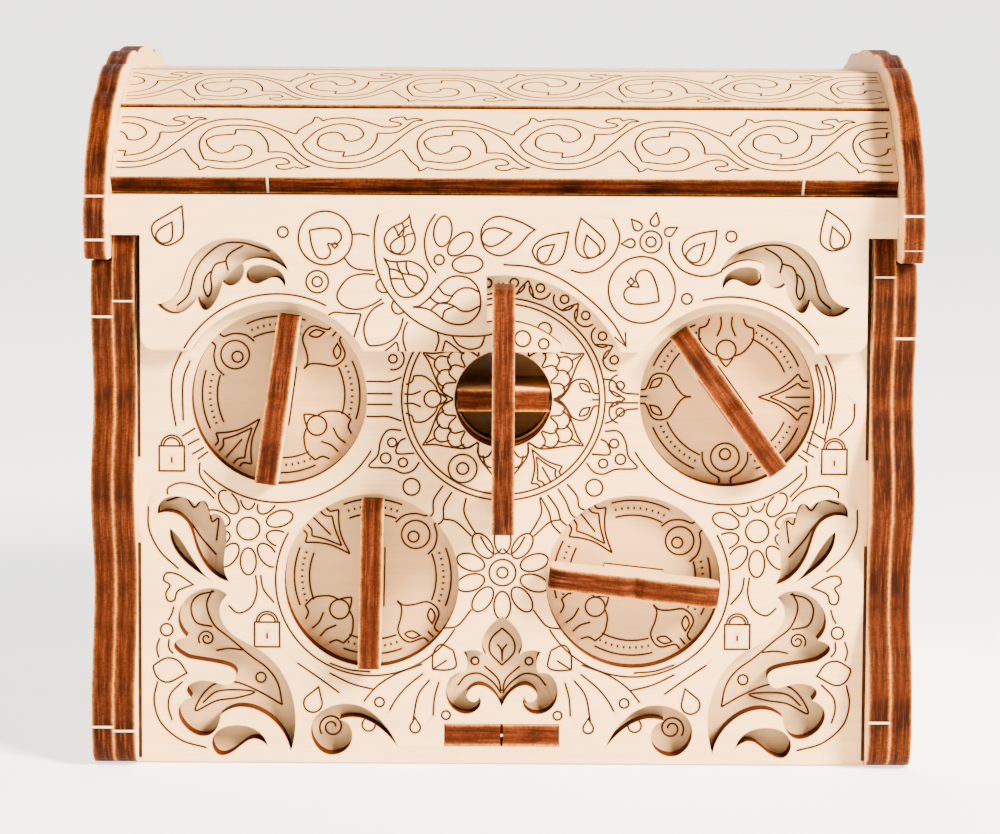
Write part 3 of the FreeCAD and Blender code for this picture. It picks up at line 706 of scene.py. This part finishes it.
def petal():
    """One pointed petal of the rosette round the key, with its net of scales."""
    art = []
    for sign in (-1, 1):
        edge = [(12.9, 0), (11.5, 3.6), (10.3, 10), (9.3, 17.5), (8.5, 23.5), (7.04, 29.5)]
        art.append(smooth([polar(r, sign * a) for r, a in edge]))
    for angle in (-20, 0, 20):
        art.append(scallop(6.9, angle, 9.5, 1.7))
    for angle in (-10, 10):
        art.append(scallop(8.3, angle, 9.5, 1.4))
    art.append(scallop(9.4, 0, 8.0, 1.5))
    art.append([polar(10.9, 0), polar(12.4, 0)])
    return art


def rosette():
    """The round ornament behind the key: petals, the four signs, two rings and a rim of eyes."""
    art = []
    for k in range(6):
        art += placed(petal(), turn=30 + 60 * k)
    art += rings((0, 0, 13.3), (0, 0, 14.1))
    for facing, strokes, scale, shift in ((0, SPADE, 0.88, 2.7), (180, BIRD, 0.85, 4.2),
                                          (300, TENT, 0.75, 4.6)):
        x, y = polar(shift, facing)
        art += placed(with_reflection(strokes), x, y, facing, scale)
    art += placed(rings((11.2, 0, 1.99), (11.2, 0, 0.83)), turn=240)
    art += placed(rings((11.3, 0, 0.95)), turn=60)
    for angle in [20 + 13 * k for k in range(-2, 8)] + [160]:
        x, y = polar(16.3, angle)
        art += [arc(x, y, 0.6), arc(x, y, 1.55, angle + 95, angle + 265)]
    for k in range(-1, 4):
        half = smooth([(14.6, 1.2), (15.5, 0.9), (16.9, 0)])
        art += placed(with_reflection([half]), turn=26.5 + 26 * k)
    return placed(art, 0, AXIS_Z)


def panel_drawing():
    left = panel_left()
    art = rosette() + left + mirror(left) + panel_middle()
    for (x, z), r, start in ((UPPER_DIAL, UPPER_RING, 224), (LOWER_DIAL, LOWER_RING, 150)):
        ring = [arc(-x, z, r, start, 330)]
        art += ring + mirror(ring)
    return art


def backing_drawing():
    left = backing_left()
    return left + mirror(left)


def vine_drawing(bottom, shift):
    """The scroll vine along a plank whose lower edge is at v = bottom."""
    art = []
    for k in range(-3, 3):
        art += placed(vine_period(), VINE_PERIOD * k + shift, bottom)
    return kept(art, lambda point: abs(point[0]) < PLANK_HALF)


def kept(strokes, wanted):
    """The parts of the strokes whose points are wanted."""
    out = []
    for stroke in strokes:
        run = []
        for point in stroke:
            if wanted(point):
                run.append(point)
            else:
                out.append(run)
                run = []
        out.append(run)
    return [run for run in out if len(run) > 1]


def flap_drawing():
    """Leaves, hearts, drops and flowers on the hanging flap."""
    art = []
    # the long stem and the short one beside it
    art += curves(
        [(-17.2, 77.1), (-17.7, 75.3), (-17.8, 72.8), (-17.5, 70.1), (-16.9, 68.2), (-16.0, 66.5),
         (-14.5, 64.6), (-12.6, 62.8), (-10.4, 61.5), (-7.9, 60.6), (-5.2, 60.4), (-2.5, 60.5),
         (-1.2, 60.9)],
        [(-9.4, 77.2), (-10.4, 75.6), (-10.9, 73.6), (-10.7, 71.5), (-10.1, 70.1), (-9.3, 69.1)])
    # three drops filled with a net
    art += curves(
        [(-13.0, 77.1), (-13.2, 76.6), (-14.1, 75.9), (-15.2, 75.4), (-16.0, 74.7), (-16.4, 73.7),
         (-16.2, 72.8), (-15.6, 72.0), (-14.5, 71.6), (-13.4, 71.7), (-12.6, 72.3), (-12.2, 73.4),
         (-12.3, 74.4), (-12.7, 75.4), (-13.0, 77.1)],
        [(-13.9, 74.2), (-15.0, 73.6), (-15.6, 72.8), (-15.3, 72.0), (-14.5, 71.7), (-13.8, 72.2),
         (-13.6, 72.9), (-13.7, 73.9), (-13.9, 74.2)],
        [(-15.1, 75.4), (-14.7, 74.8), (-14.5, 74.1)],
        [(-14.0, 75.9), (-13.7, 75.2), (-13.9, 74.2)],
        [(-13.0, 75.6), (-13.7, 75.2), (-14.5, 74.1)],
        [(-12.4, 74.5), (-13.3, 74.3), (-13.7, 73.9)],
        [(-16.5, 71.1), (-15.8, 70.7), (-14.5, 70.6), (-13.0, 70.7), (-11.7, 70.2), (-10.7, 69.3),
         (-10.5, 68.2), (-11.1, 67.1), (-12.0, 66.1), (-13.3, 65.7), (-14.4, 66.0), (-15.2, 67.1),
         (-15.6, 68.5), (-15.8, 69.9), (-16.5, 71.1)],
        [(-15.6, 69.6), (-14.9, 69.5), (-13.9, 69.0), (-12.6, 68.8), (-11.7, 68.5), (-11.0, 67.7),
         (-11.1, 66.9), (-11.8, 66.3), (-12.6, 66.5), (-13.4, 67.4), (-13.9, 68.7), (-14.5, 69.8),
         (-14.7, 70.6)],
        [(-13.4, 70.6), (-13.4, 69.8), (-13.0, 68.9)],
        [(-15.6, 68.2), (-14.9, 68.3), (-13.8, 68.2)],
        [(-12.5, 64.4), (-11.5, 64.6), (-10.1, 65.8), (-8.8, 67.4), (-7.6, 68.4), (-6.2, 68.7),
         (-4.7, 68.3), (-3.6, 67.1), (-3.2, 65.4), (-3.4, 63.8), (-4.6, 62.4), (-6.2, 62.0),
         (-7.9, 62.4), (-9.5, 63.6), (-10.7, 64.2), (-12.5, 64.4)],
        [(-8.5, 65.0), (-7.6, 65.2), (-6.8, 66.3), (-5.7, 67.0), (-4.4, 67.0), (-3.5, 66.5)],
        [(-10.1, 65.7), (-9.2, 65.0), (-7.9, 64.9), (-6.9, 64.6), (-5.8, 63.9), (-4.6, 63.9),
         (-3.3, 64.6)],
        [(-9.0, 67.2), (-8.2, 66.2), (-6.9, 65.9)],
        [(-10.0, 64.0), (-9.3, 64.7), (-8.5, 65.0)],
        [(-8.4, 62.8), (-8.1, 63.9), (-6.8, 64.5)])
    # three loose petals
    art += ellipses((-8.4, 74.8, 2.1, 0.59, 83), (-6.0, 73.1, 2.1, 0.55, 42),
                    (-5.0, 70.3, 2.1, 0.58, 3))
    art += rings((-8.9, 70.9, 0.71))
    # stems beside the left heart, and the petals under the long stem
    art += curves(
        [(-20.8, 74.3), (-19.6, 74.4), (-18.4, 74.1)],
        [(-21.9, 71.1), (-21.0, 70.0), (-19.8, 69.5), (-17.9, 69.4)],
        [(-17.6, 68.8), (-19.4, 68.9), (-21.2, 68.4), (-22.4, 67.1), (-22.9, 65.8), (-22.3, 64.7),
         (-21.0, 64.1), (-19.6, 64.1), (-18.0, 64.7), (-16.7, 65.5)],
        [(-16.4, 65.0), (-17.9, 64.1), (-18.8, 62.8), (-19.2, 61.2), (-18.7, 59.3), (-17.9, 59.0),
         (-16.3, 59.3), (-15.0, 60.1), (-14.2, 61.4), (-13.8, 62.9)],
        [(-13.2, 62.4), (-13.7, 61.2), (-13.8, 59.8), (-13.4, 58.2)],
        [(-9.1, 60.9), (-8.9, 59.8), (-9.4, 58.2)],
        [(-24.1, 63.2), (-23.2, 63.6), (-21.8, 63.5), (-19.6, 63.4)],
        [(-19.6, 63.4), (-20.0, 61.9), (-20.6, 60.1)],
        [(-16.4, 58.2), (-15.5, 58.9), (-14.7, 59.5), (-14.4, 58.2)],
        [(-16.9, 68.3), (-17.5, 67.7), (-17.4, 66.9), (-16.8, 66.4), (-15.9, 66.4)],
        [(-15.1, 65.3), (-15.4, 64.4), (-15.0, 63.6), (-14.4, 63.4), (-13.7, 63.7)],
        [(-7.1, 60.5), (-6.2, 59.2), (-4.7, 58.6), (-3.3, 58.9), (-2.8, 59.7), (-2.6, 60.5)],
        [(-8.4, 58.3), (-8.0, 59.8)],
        [(-8.0, 59.8), (-7.1, 59.2), (-5.8, 58.2)])
    # the drops above the slot, each with an inner line
    art += curves(
        [(4.2, 75.1), (2.1, 76.2), (-0.8, 76.9), (-2.6, 76.0), (-3.2, 74.3), (-2.5, 72.3),
         (-0.5, 71.5), (1.6, 72.5), (3.3, 74.4), (4.2, 75.1)],
        [(1.0, 74.6), (-1.0, 75.3), (-2.6, 75.0), (-3.1, 73.7), (-2.2, 72.8), (-0.8, 73.1),
         (1.0, 74.6)],
        [(8.8, 74.8), (6.2, 74.3), (4.5, 73.3), (3.9, 72.0), (5.0, 70.5), (6.8, 70.4), (8.1, 71.7),
         (8.8, 74.8)],
        [(6.9, 73.1), (5.0, 72.7), (4.5, 71.7), (5.0, 70.7), (5.9, 70.9), (6.9, 73.1)],
        [(10.5, 76.7), (9.8, 74.0), (10.1, 72.0), (11.6, 71.2), (13.5, 72.1), (13.7, 73.7),
         (12.3, 75.2), (10.5, 76.7)],
        [(11.3, 74.4), (10.9, 72.5), (11.6, 71.3), (12.9, 71.7), (13.0, 72.8), (11.3, 74.4)])
    # the arcs round the ringed flower and the arrow over the slot
    art += curves(
        [(14.8, 76.7), (15.8, 74.3), (15.0, 71.7), (12.9, 69.8), (10.8, 69.2), (9.1, 69.6)],
        [(-0.1, 70.3), (3.9, 69.9), (7.9, 68.3), (11.7, 65.6), (14.9, 62.4), (16.8, 59.2)])
    art += [
        [(15.2, 60.4), (16.8, 59.1), (16.7, 61.1)]]
    art += rings((20.1, 73.5, 1.51), (20.1, 73.5, 0.70), (18.9, 66.9, 4.58))
    # small drops about the ringed flower
    for turn in (29, 80, 131, 184):
        art += placed(drops((4.1, 0, 2.8, 0, 0.62)), 20.1, 73.5, turn)
    art += heart(19.2, 66.8, 3.2, 55)
    art += heart(-24.8, 73.5, 2.9, -126)
    # the little diamonds at the hearts' ends
    art += [
        [(-23.2, 73.2), (-22.8, 72.8), (-23.2, 72.4), (-23.6, 72.8), (-23.2, 73.2)]]
    art += [
        [(17.4, 68.6), (17.9, 68.0), (17.4, 67.5), (16.9, 68.0), (17.4, 68.6)]]
    # rings at the left
    art += rings((-30.3, 74.6, 0.74), (-24.5, 73.8, 3.69), (-25.6, 67.8, 1.53), (-25.6, 67.8, 0.71))
    # the drops at the left end and the right end
    art += curves(
        [(-44.1, 78.1), (-46.1, 76.9), (-48.0, 75.7), (-48.2, 74.4), (-47.4, 73.1), (-46.0, 72.7),
         (-44.3, 73.6), (-43.9, 74.9), (-44.1, 78.1)],
        [(-45.5, 75.9), (-47.2, 74.9), (-47.7, 73.9), (-46.9, 73.0), (-45.6, 73.4), (-45.4, 74.9),
         (-45.5, 75.9)])
    art += curves(
        [(44.1, 78.0), (43.4, 75.3), (43.4, 73.4), (44.9, 72.4), (46.9, 73.1), (47.4, 74.7),
         (46.3, 76.4), (44.1, 78.0)],
        [(44.9, 75.7), (44.6, 73.6), (45.2, 72.7), (46.4, 73.1), (46.5, 74.2), (44.9, 75.7)],
        [(29.1, 75.1), (26.4, 74.6), (24.7, 73.5), (24.5, 72.0), (25.8, 70.5), (27.5, 70.5),
         (28.7, 72.3), (29.1, 75.1)],
        [(27.5, 73.4), (25.8, 72.8), (24.9, 71.7), (25.6, 70.8), (26.8, 71.0), (27.5, 73.4)],
        [(22.6, 73.6), (22.8, 71.7), (24.2, 69.8), (26.4, 68.9), (28.3, 68.9), (29.9, 69.5)])
    art += rings((31.1, 74.3, 0.76), (25.1, 65.7, 0.74))
    # arcs over the two upper dials
    art += [arc(-31.05, 51.4, 14.7, 63, 151), arc(31.05, 51.4, 14.6, 33, 105)]
    # two rings on the tongue under the slot
    art += rings((2.6, 60.1, 1.10), (5.5, 59.4, 0.72))
    return art


def clear_of_rings(point):
    """Whether a point is outside the rings about the left dials."""
    point = (-point[0], point[1])
    return (math.dist(point, UPPER_DIAL) > UPPER_RING + RING_GAP
            and math.dist(point, LOWER_DIAL) > LOWER_RING + RING_GAP)


def panel_left():
    """The left half of the front panel; most of it is mirrored to the right."""
    art = []
    # arcs beside the upper dial
    art += curves(
        [(-44.6, 57.7), (-45.8, 54.8), (-46.0, 51.3), (-45.4, 47.3)],
        [(-43.4, 56.5), (-44.4, 53.5), (-44.4, 48.1)])
    # the fan of lines beside the padlock
    art += curves(
        [(-44.6, 45.9), (-43.6, 46.5), (-42.7, 47.1)],
        [(-43.8, 44.7), (-42.9, 45.2), (-42.1, 45.6)],
        [(-43.2, 43.4), (-42.3, 43.9), (-41.5, 44.4)],
        [(-42.4, 42.7), (-41.6, 43.3), (-40.9, 43.8)])
    art += padlock(-46.0, 42.8)
    art += padlock(-32.8, 18.1)
    # the flower of ten petals
    art += kept(flower(-35.4, 33.0, 1.6, 4.6, 1.9, 10), clear_of_rings)
    # stems, leaves and hearts between the cut-outs
    art += curves(
        [(-49.3, 36.1), (-49.2, 32.9), (-47.7, 29.8), (-45.1, 27.3)],
        [(-45.8, 22.0), (-46.1, 20.9), (-46.6, 20.0)],
        [(-47.8, 17.5), (-48.2, 16.1), (-47.9, 14.7)],
        [(-46.5, 17.4), (-46.5, 16.1), (-45.9, 15.3)],
        [(-48.1, 11.4), (-48.6, 8.7), (-47.7, 5.6), (-44.9, 3.1), (-41.3, 2.0)],
        [(-44.6, 11.4), (-46.3, 9.6), (-46.6, 7.7), (-46.1, 5.9)],
        [(-38.2, 22.2), (-36.8, 21.1), (-35.0, 22.0), (-34.2, 24.2), (-34.4, 26.5)],
        [(-33.7, 26.5), (-33.3, 24.5), (-31.8, 22.6)],
        [(-42.1, 42.3), (-42.0, 40.3), (-39.9, 37.8)],
        [(-46.6, 37.7), (-46.5, 38.7), (-44.6, 39.4), (-41.8, 38.7), (-40.1, 37.2)],
        [(-28.6, 14.1), (-25.7, 12.1), (-22.7, 9.9)])
    art += curves(
        [(-43.1, 25.1), (-45.2, 26.5), (-46.8, 26.7), (-47.2, 25.7), (-46.3, 25.0), (-46.9, 23.9),
         (-46.6, 22.8), (-45.7, 22.9), (-45.2, 24.2), (-43.1, 25.1)],
        [(-44.0, 12.6), (-45.2, 14.3), (-46.8, 14.7), (-48.3, 13.9), (-48.7, 13.3), (-48.0, 11.8),
         (-46.5, 11.3), (-44.0, 12.6)])
    art += rings((-46.8, 18.7, 0.87))
    art += drops((-25.6, 10.7, -26.4, 8.4, 1.30))
    # rings beside the middle flower and near the floor
    art += rings((-12.7, 39.0, 1.18), (-17.1, 8.6, 0.68), (-7.8, 6.8, 0.62))
    art += drops((-18.6, 7.0, -18.6, 5.4, 0.93), (-12.1, 6.4, -12.1, 5.0, 0.74))
    # whiskers under the middle flower
    art += curves(
        [(-11.1, 14.0), (-14.8, 12.6), (-17.5, 10.8), (-19.3, 8.7)],
        [(-11.0, 12.7), (-13.3, 10.8), (-14.8, 9.0), (-15.7, 7.4)],
        [(-10.1, 11.8), (-11.7, 9.6), (-12.4, 6.0)],
        [(-8.8, 11.5), (-9.4, 9.3), (-9.6, 6.7)],
        [(-24.1, 14.1), (-21.4, 13.2), (-18.4, 12.9)],
        [(-24.1, 12.7), (-21.0, 11.2), (-17.9, 10.4)],
        [(-8.2, 19.1), (-6.2, 19.5), (-4.3, 21.8)],
        [(-8.2, 34.5), (-6.5, 34.1), (-4.3, 32.1)],
        [(-5.1, 37.5), (-5.4, 35.6), (-4.6, 33.8), (-3.7, 32.4)],
        [(-3.1, 32.1), (-2.1, 30.4), (-1.0, 29.6), (-0.1, 30.4)])
    # a heart over the whiskers
    art += curves(
        [(-6.8, 16.0), (-8.6, 16.8), (-9.6, 15.5), (-9.7, 13.3)],
        [(-9.7, 13.3), (-7.7, 13.2), (-6.4, 13.8), (-6.8, 16.0)],
        [(-9.7, 13.3), (-8.6, 14.0), (-7.7, 14.6)])
    # pods over the lower dial
    art += curves(
        [(-14.1, 46.9), (-16.0, 46.9), (-17.0, 45.4), (-17.4, 43.4), (-18.6, 41.8), (-15.7, 41.6),
         (-13.9, 40.9), (-12.5, 41.3), (-11.6, 42.5)],
        [(-13.5, 45.8), (-14.4, 45.3), (-14.8, 43.7), (-12.3, 43.7)])
    art += rings((-15.4, 45.2, 0.64), (-16.3, 43.0, 0.73), (-13.9, 42.4, 0.64))
    # veins of the leaves behind the flap's cut-outs
    art += curves(
        [(-45.2, 64.1), (-43.6, 65.7), (-42.8, 68.6), (-41.5, 70.7), (-39.1, 72.6), (-36.4, 72.9),
         (-33.7, 72.2), (-32.4, 71.7)],
        [(-36.0, 72.5), (-37.7, 71.5), (-38.4, 70.5), (-38.1, 69.0)],
        [(-38.5, 70.3), (-39.9, 69.8), (-40.5, 68.3), (-40.4, 66.5), (-40.9, 65.4), (-41.5, 66.6),
         (-41.2, 68.1), (-40.5, 68.9)],
        [(-42.3, 65.2), (-41.7, 64.4), (-41.2, 63.7)])
    return art


def panel_middle():
    """What is drawn once: the middle flower, lines between the dials and the key."""
    art = []
    art += flower(0.0, 27.0, 1.86, 4.65, 2.0, 10)
    art += rings((0.0, 27.0, 0.78))
    # lines from the middle flower to the lower dials
    art += curves(
        [(-8.3, 39.2), (-9.6, 37.2), (-9.7, 35.3), (-10.5, 34.6)],
        [(-7.1, 38.3), (-8.2, 36.3), (-8.3, 34.4), (-9.4, 33.5)],
        [(5.2, 37.7), (6.4, 35.6), (6.9, 33.8), (8.1, 32.5)],
        [(6.2, 38.0), (7.6, 36.0), (8.1, 34.4), (9.2, 33.5)],
        [(7.6, 38.9), (8.7, 37.2), (9.5, 35.3), (10.4, 34.6)],
        [(8.9, 39.5), (10.3, 37.8), (10.6, 36.3), (11.5, 35.8)])
    # lines from the rings to the upper dials
    art += curves(
        [(-19.0, 53.7), (-17.4, 53.7), (-15.7, 53.7), (-14.1, 54.3)],
        [(-19.0, 48.8), (-17.4, 48.8), (-16.0, 48.8), (-14.1, 48.2)],
        [(13.9, 54.2), (15.3, 53.9), (16.5, 52.4), (18.8, 52.1)],
        [(14.1, 48.0), (15.3, 48.5), (16.8, 49.8), (18.7, 50.1)])
    art += [
        [(-18.9, 52.0), (-15.4, 52.0)],
        [(-18.9, 50.5), (-15.4, 50.5)],
        [(14.1, 50.9), (18.7, 50.9)]]
    # arcs beside the upper right dial
    art += curves(
        [(44.6, 56.2), (45.6, 51.7), (44.6, 45.5)],
        [(43.2, 56.4), (44.0, 51.2), (42.1, 43.9)],
        [(48.7, 51.0), (48.5, 48.4), (46.6, 46.4)])
    return art


def backing_left():
    """Veins on the plate behind the cut-outs, left half."""
    art = []
    # the bud
    art += curves(
        [(-47.1, 36.4), (-44.6, 37.0), (-43.2, 35.5), (-42.1, 36.6), (-41.2, 35.5), (-40.7, 33.5),
         (-39.8, 33.9), (-40.1, 30.8)],
        [(-46.2, 34.5), (-44.0, 33.6), (-42.1, 31.1), (-40.1, 28.8)])
    # the acanthus leaf
    art += curves(
        [(-40.4, 23.6), (-42.7, 23.0), (-43.7, 21.4), (-43.0, 19.2), (-40.7, 18.6)],
        [(-40.7, 23.8), (-41.5, 21.7), (-40.5, 18.9), (-38.4, 17.1), (-35.5, 14.6), (-33.0, 12.7),
         (-31.5, 10.5), (-30.9, 7.5)],
        [(-40.2, 15.2), (-38.4, 15.5), (-36.5, 15.3)],
        [(-30.9, 7.5), (-34.0, 9.3), (-37.4, 10.7), (-40.2, 10.5), (-42.1, 8.9), (-43.1, 6.6),
         (-40.2, 8.0), (-37.1, 8.5), (-34.8, 9.3), (-37.4, 9.6), (-40.2, 9.3), (-42.1, 7.7)])
    # curls in the acanthus and in the swirl
    art += [spiral(-41.5, 16.9, 0.25, 1.2), spiral(-23.9, 4.4, 0.5, 1.8)]
    art += rings((-33.9, 11.4, 0.72))
    # half of the fleur
    art += curves(
        [(0.0, 18.6), (-1.5, 17.1), (-1.7, 15.2), (0.0, 13.3)],
        [(0.0, 13.9), (-0.1, 15.5), (-0.7, 16.3)],
        [(-0.1, 9.6), (-0.6, 11.4), (-2.5, 13.2)],
        [(-6.2, 10.4), (-5.0, 11.8), (-3.1, 12.1), (-1.2, 10.8), (-0.1, 9.3)])
    art += rings((-3.8, 13.9, 0.56))
    return art


def vine_period():
    """One period of the scroll vine on the planks: a scroll that hangs and one that stands."""
    art = []
    # the rising spike and the outer line over the hanging scroll, to its lobed tail
    art += curves(
        [(-28.9, 8.8), (-28.7, 9.5), (-27.8, 10.5), (-26.9, 11.2), (-26.5, 12.4)],
        [(-26.5, 12.4), (-25.9, 12.2), (-25.4, 11.6)],
        [(-25.4, 11.6), (-24.1, 12.1), (-21.5, 12.2), (-19.6, 11.6), (-18.1, 10.9), (-16.8, 10.4),
         (-15.1, 10.5), (-14.4, 11.0), (-15.1, 11.4), (-15.9, 11.6), (-16.0, 12.0), (-15.1, 12.4),
         (-14.0, 12.5)],
        [(-14.0, 12.5), (-13.7, 11.9), (-12.8, 12.2), (-11.9, 12.1), (-11.4, 11.8)],
        [(-11.4, 11.8), (-12.7, 11.6), (-13.6, 10.6), (-14.7, 9.5), (-15.8, 9.1), (-17.7, 9.1)])
    # the hanging scroll
    art += curves(
        [(-17.7, 9.1), (-17.8, 7.7), (-18.6, 5.9), (-20.1, 4.7), (-22.3, 4.2)],
        [(-22.1, 5.2), (-23.3, 5.3), (-24.6, 5.6), (-25.7, 6.4), (-25.9, 7.3), (-25.6, 8.4),
         (-24.6, 9.1), (-23.3, 9.2), (-22.5, 8.6), (-22.1, 7.6)],
        [(-22.1, 7.6), (-21.1, 7.4), (-20.1, 7.9), (-19.6, 8.8), (-20.0, 9.9), (-21.1, 10.7),
         (-22.8, 11.0), (-24.4, 10.6), (-26.3, 9.3), (-28.0, 6.8)])
    art += [
        [(-22.3, 4.2), (-22.1, 5.2)]]
    # the two stem lines
    art += curves(
        [(-28.0, 6.8), (-27.3, 5.4), (-25.9, 4.2), (-24.3, 3.3), (-22.0, 3.0), (-19.6, 3.3),
         (-17.3, 4.7), (-15.5, 6.8), (-13.6, 9.2), (-11.9, 10.7), (-9.7, 11.7), (-7.0, 11.9),
         (-5.0, 11.7), (-3.1, 11.0), (-0.9, 9.8), (1.2, 8.8)],
        [(-11.2, 3.5), (-11.9, 5.4), (-12.1, 7.1), (-11.7, 8.5), (-10.6, 9.9), (-8.7, 10.5),
         (-6.5, 10.6), (-4.6, 10.4), (-2.6, 9.9), (-1.2, 8.9), (0.1, 7.5), (1.4, 5.4), (2.9, 3.6),
         (4.6, 2.5), (6.2, 2.0), (8.1, 1.8), (10.5, 2.1), (12.8, 3.2), (14.5, 4.6), (15.8, 5.7)])
    # the falling spike
    art += [
        [(-14.3, 5.7), (-14.0, 5.4), (-12.8, 3.2), (-11.9, 2.2), (-11.7, 1.4), (-11.2, 1.6),
         (-10.6, 2.1)]]
    # the standing scroll and its tail
    art += curves(
        [(-10.6, 2.1), (-9.3, 1.7), (-7.4, 1.6), (-5.7, 1.8), (-3.9, 2.7), (-2.0, 3.7),
         (-0.5, 3.9), (0.5, 3.2), (0.3, 2.7), (-1.0, 2.5), (-1.2, 2.1), (-0.8, 1.7), (0.3, 1.6),
         (1.3, 2.1)],
        [(1.3, 2.1), (2.3, 1.8), (3.5, 2.2)],
        [(3.5, 2.2), (2.7, 2.4), (1.7, 3.3), (0.6, 4.6), (-0.7, 5.1), (-2.5, 5.1)],
        [(-2.5, 5.1), (-2.6, 6.6), (-3.3, 8.2), (-4.6, 9.5), (-7.2, 9.7)],
        [(-7.3, 8.7), (-8.7, 8.6), (-10.2, 8.3), (-11.2, 7.5)],
        [(-11.2, 7.5), (-10.9, 6.4), (-10.0, 5.3), (-8.9, 4.8), (-7.9, 5.2), (-7.4, 5.7),
         (-7.3, 6.3)],
        [(-7.3, 6.3), (-6.1, 6.5), (-5.2, 6.1), (-4.7, 5.2), (-5.1, 4.0), (-6.3, 3.3), (-7.8, 3.0),
         (-9.5, 3.2), (-11.2, 3.5)])
    art += [
        [(-7.2, 9.7), (-7.3, 8.7)]]
    return art


VINE_PERIOD = 30.15
SECOND_ROW = 20.8                       # from the top plank's first row of vine to its second
PLANK_HALF = 53.6                       # the vine stops just short of the plank's ends


def lowest(node):
    """The smallest v on a plate's outer face."""
    origin, u, v, n = plate_frame(node)
    return min(p[1] for p in outline_loops(node, origin, u, v, n)[0])


def side_gap_shadow_lines():
    """Dark lines engraved on the front panel along its sides, open between the tabs: painted shadow for
    the gaps between the panel and the side plates, which are dark from shade and partly from their
    charred edges.
    """
    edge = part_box("inner_side_right")[0].x / MM
    art = []
    # two dark lines per side, painted shadow in the gap to the side plate
    for inset in (0.16, 0.36):
        for low, high in ((0.6, 31.0), (43.0, 75.0)):
            art.append([(edge - inset, low), (edge - inset, high)])
    return art + mirror(art)


# the front panel also carries the painted shadow lines along its side gaps
DRAWINGS = {"lid_flap": flap_drawing(), "front_panel": panel_drawing() + side_gap_shadow_lines(),
            "backing_panel": backing_drawing()}
for name, sign, (dial_x, dial_z), turn in (("upper_left", -1, UPPER_DIAL, 4),
                                           ("upper_right", 1, UPPER_DIAL, 135),
                                           ("lower_left", -1, LOWER_DIAL, -90),
                                           ("lower_right", 1, LOWER_DIAL, -96.3)):
    DRAWINGS[name + "_disc"] = dial_drawing(sign * dial_x, dial_z, turn)
for name, shift in (("front_lower", 0.0), ("front_upper", -1.8), ("top", 3.0), ("rear_upper", -1.8),
                    ("rear_lower", 0.0)):
    node = "lid_%s_plank" % name
    DRAWINGS[node] = vine_drawing(lowest(node), shift)
# the broad top plank carries the vine along both of its long edges
DRAWINGS["lid_top_plank"] += vine_drawing(lowest("lid_top_plank") + SECOND_ROW, -6.0)

# ---- the pieces -------------------------------------------------------------------------

for node_name in NODES:
    if node_name.startswith("hinge_pin"):
        NODES[node_name].data.materials.clear()
        NODES[node_name].data.materials.append(DOWEL)
    else:
        carve(node_name, DRAWINGS.get(node_name, ()))

# ---- floor, light and camera ------------------------------------------------------------


def studio():
    """A pale sweep of paper that rises behind the chest, a warm key light and a weak fill."""
    near, far, high, bend = -3.0, 2.2, 3.0, 0.6
    section = [(near, 0.0)]
    for k in range(13):
        a = math.pi / 2 * k / 12
        section.append((far - bend + bend * math.sin(a), bend - bend * math.cos(a)))
    section.append((far, high))
    spots = [(x, y, z) for y, z in section for x in (-3.0, 3.0)]
    quads = [(2 * k, 2 * k + 1, 2 * k + 3, 2 * k + 2) for k in range(len(section) - 1)]
    sweep = bpy.data.meshes.new("floor")
    sweep.from_pydata(spots, [], quads)
    for face in sweep.polygons:
        face.use_smooth = True
    stage = bpy.data.objects.new("floor", sweep)
    stage.location.z = -0.0002
    bpy.context.scene.collection.objects.link(stage)
    pale = Tree("pale_floor")
    pale.shader.inputs["Base Color"].default_value = (0.95, 0.95, 0.95, 1)
    pale.shader.inputs["Roughness"].default_value = 0.9
    pale.shader.inputs["Emission Color"].default_value = (1, 1, 1, 1)
    pale.shader.inputs["Emission Strength"].default_value = 1.7
    sweep.materials.append(pale.material)
    world = bpy.data.worlds.new("studio")
    world.use_nodes = True
    world.node_tree.nodes["Background"].inputs["Color"].default_value = (1.0, 0.97, 0.93, 1)
    world.node_tree.nodes["Background"].inputs["Strength"].default_value = 0.38
    bpy.context.scene.world = world
    for name, place, wide, power in (("key", (0.60, -0.55, 0.52), 0.26, 64.0),
                                     ("fill", (-0.6, -0.6, 0.30), 0.6, 3.0)):
        light = bpy.data.lights.new(name, "AREA")
        light.color = (1.0, 0.87, 0.73)
        light.size = wide
        light.energy = power
        lamp = bpy.data.objects.new(name, light)
        lamp.location = place
        aim = Vector((0, 0, 0.05)) - lamp.location
        lamp.rotation_euler = aim.to_track_quat("-Z", "Y").to_euler()
        bpy.context.scene.collection.objects.link(lamp)


def camera():
    """A long lens in front of the chest, a little above its lid, looking slightly down."""
    lens = bpy.data.cameras.new("camera")
    lens.sensor_width = 36.0
    lens.lens = 111.1
    lens.shift_x = -0.0039
    lens.shift_y = -0.12
    lens.clip_start = 0.01
    eye = bpy.data.objects.new("camera", lens)
    eye.location = (0, (FRONT_Y - 425.0) * MM, 102.2 * MM)
    eye.rotation_euler = Euler((math.radians(90 - 4.93), 0, 0))
    eye.rotation_euler.rotate_axis("Z", math.radians(0.3))
    bpy.context.scene.collection.objects.link(eye)
    bpy.context.scene.camera = eye


studio()
camera()
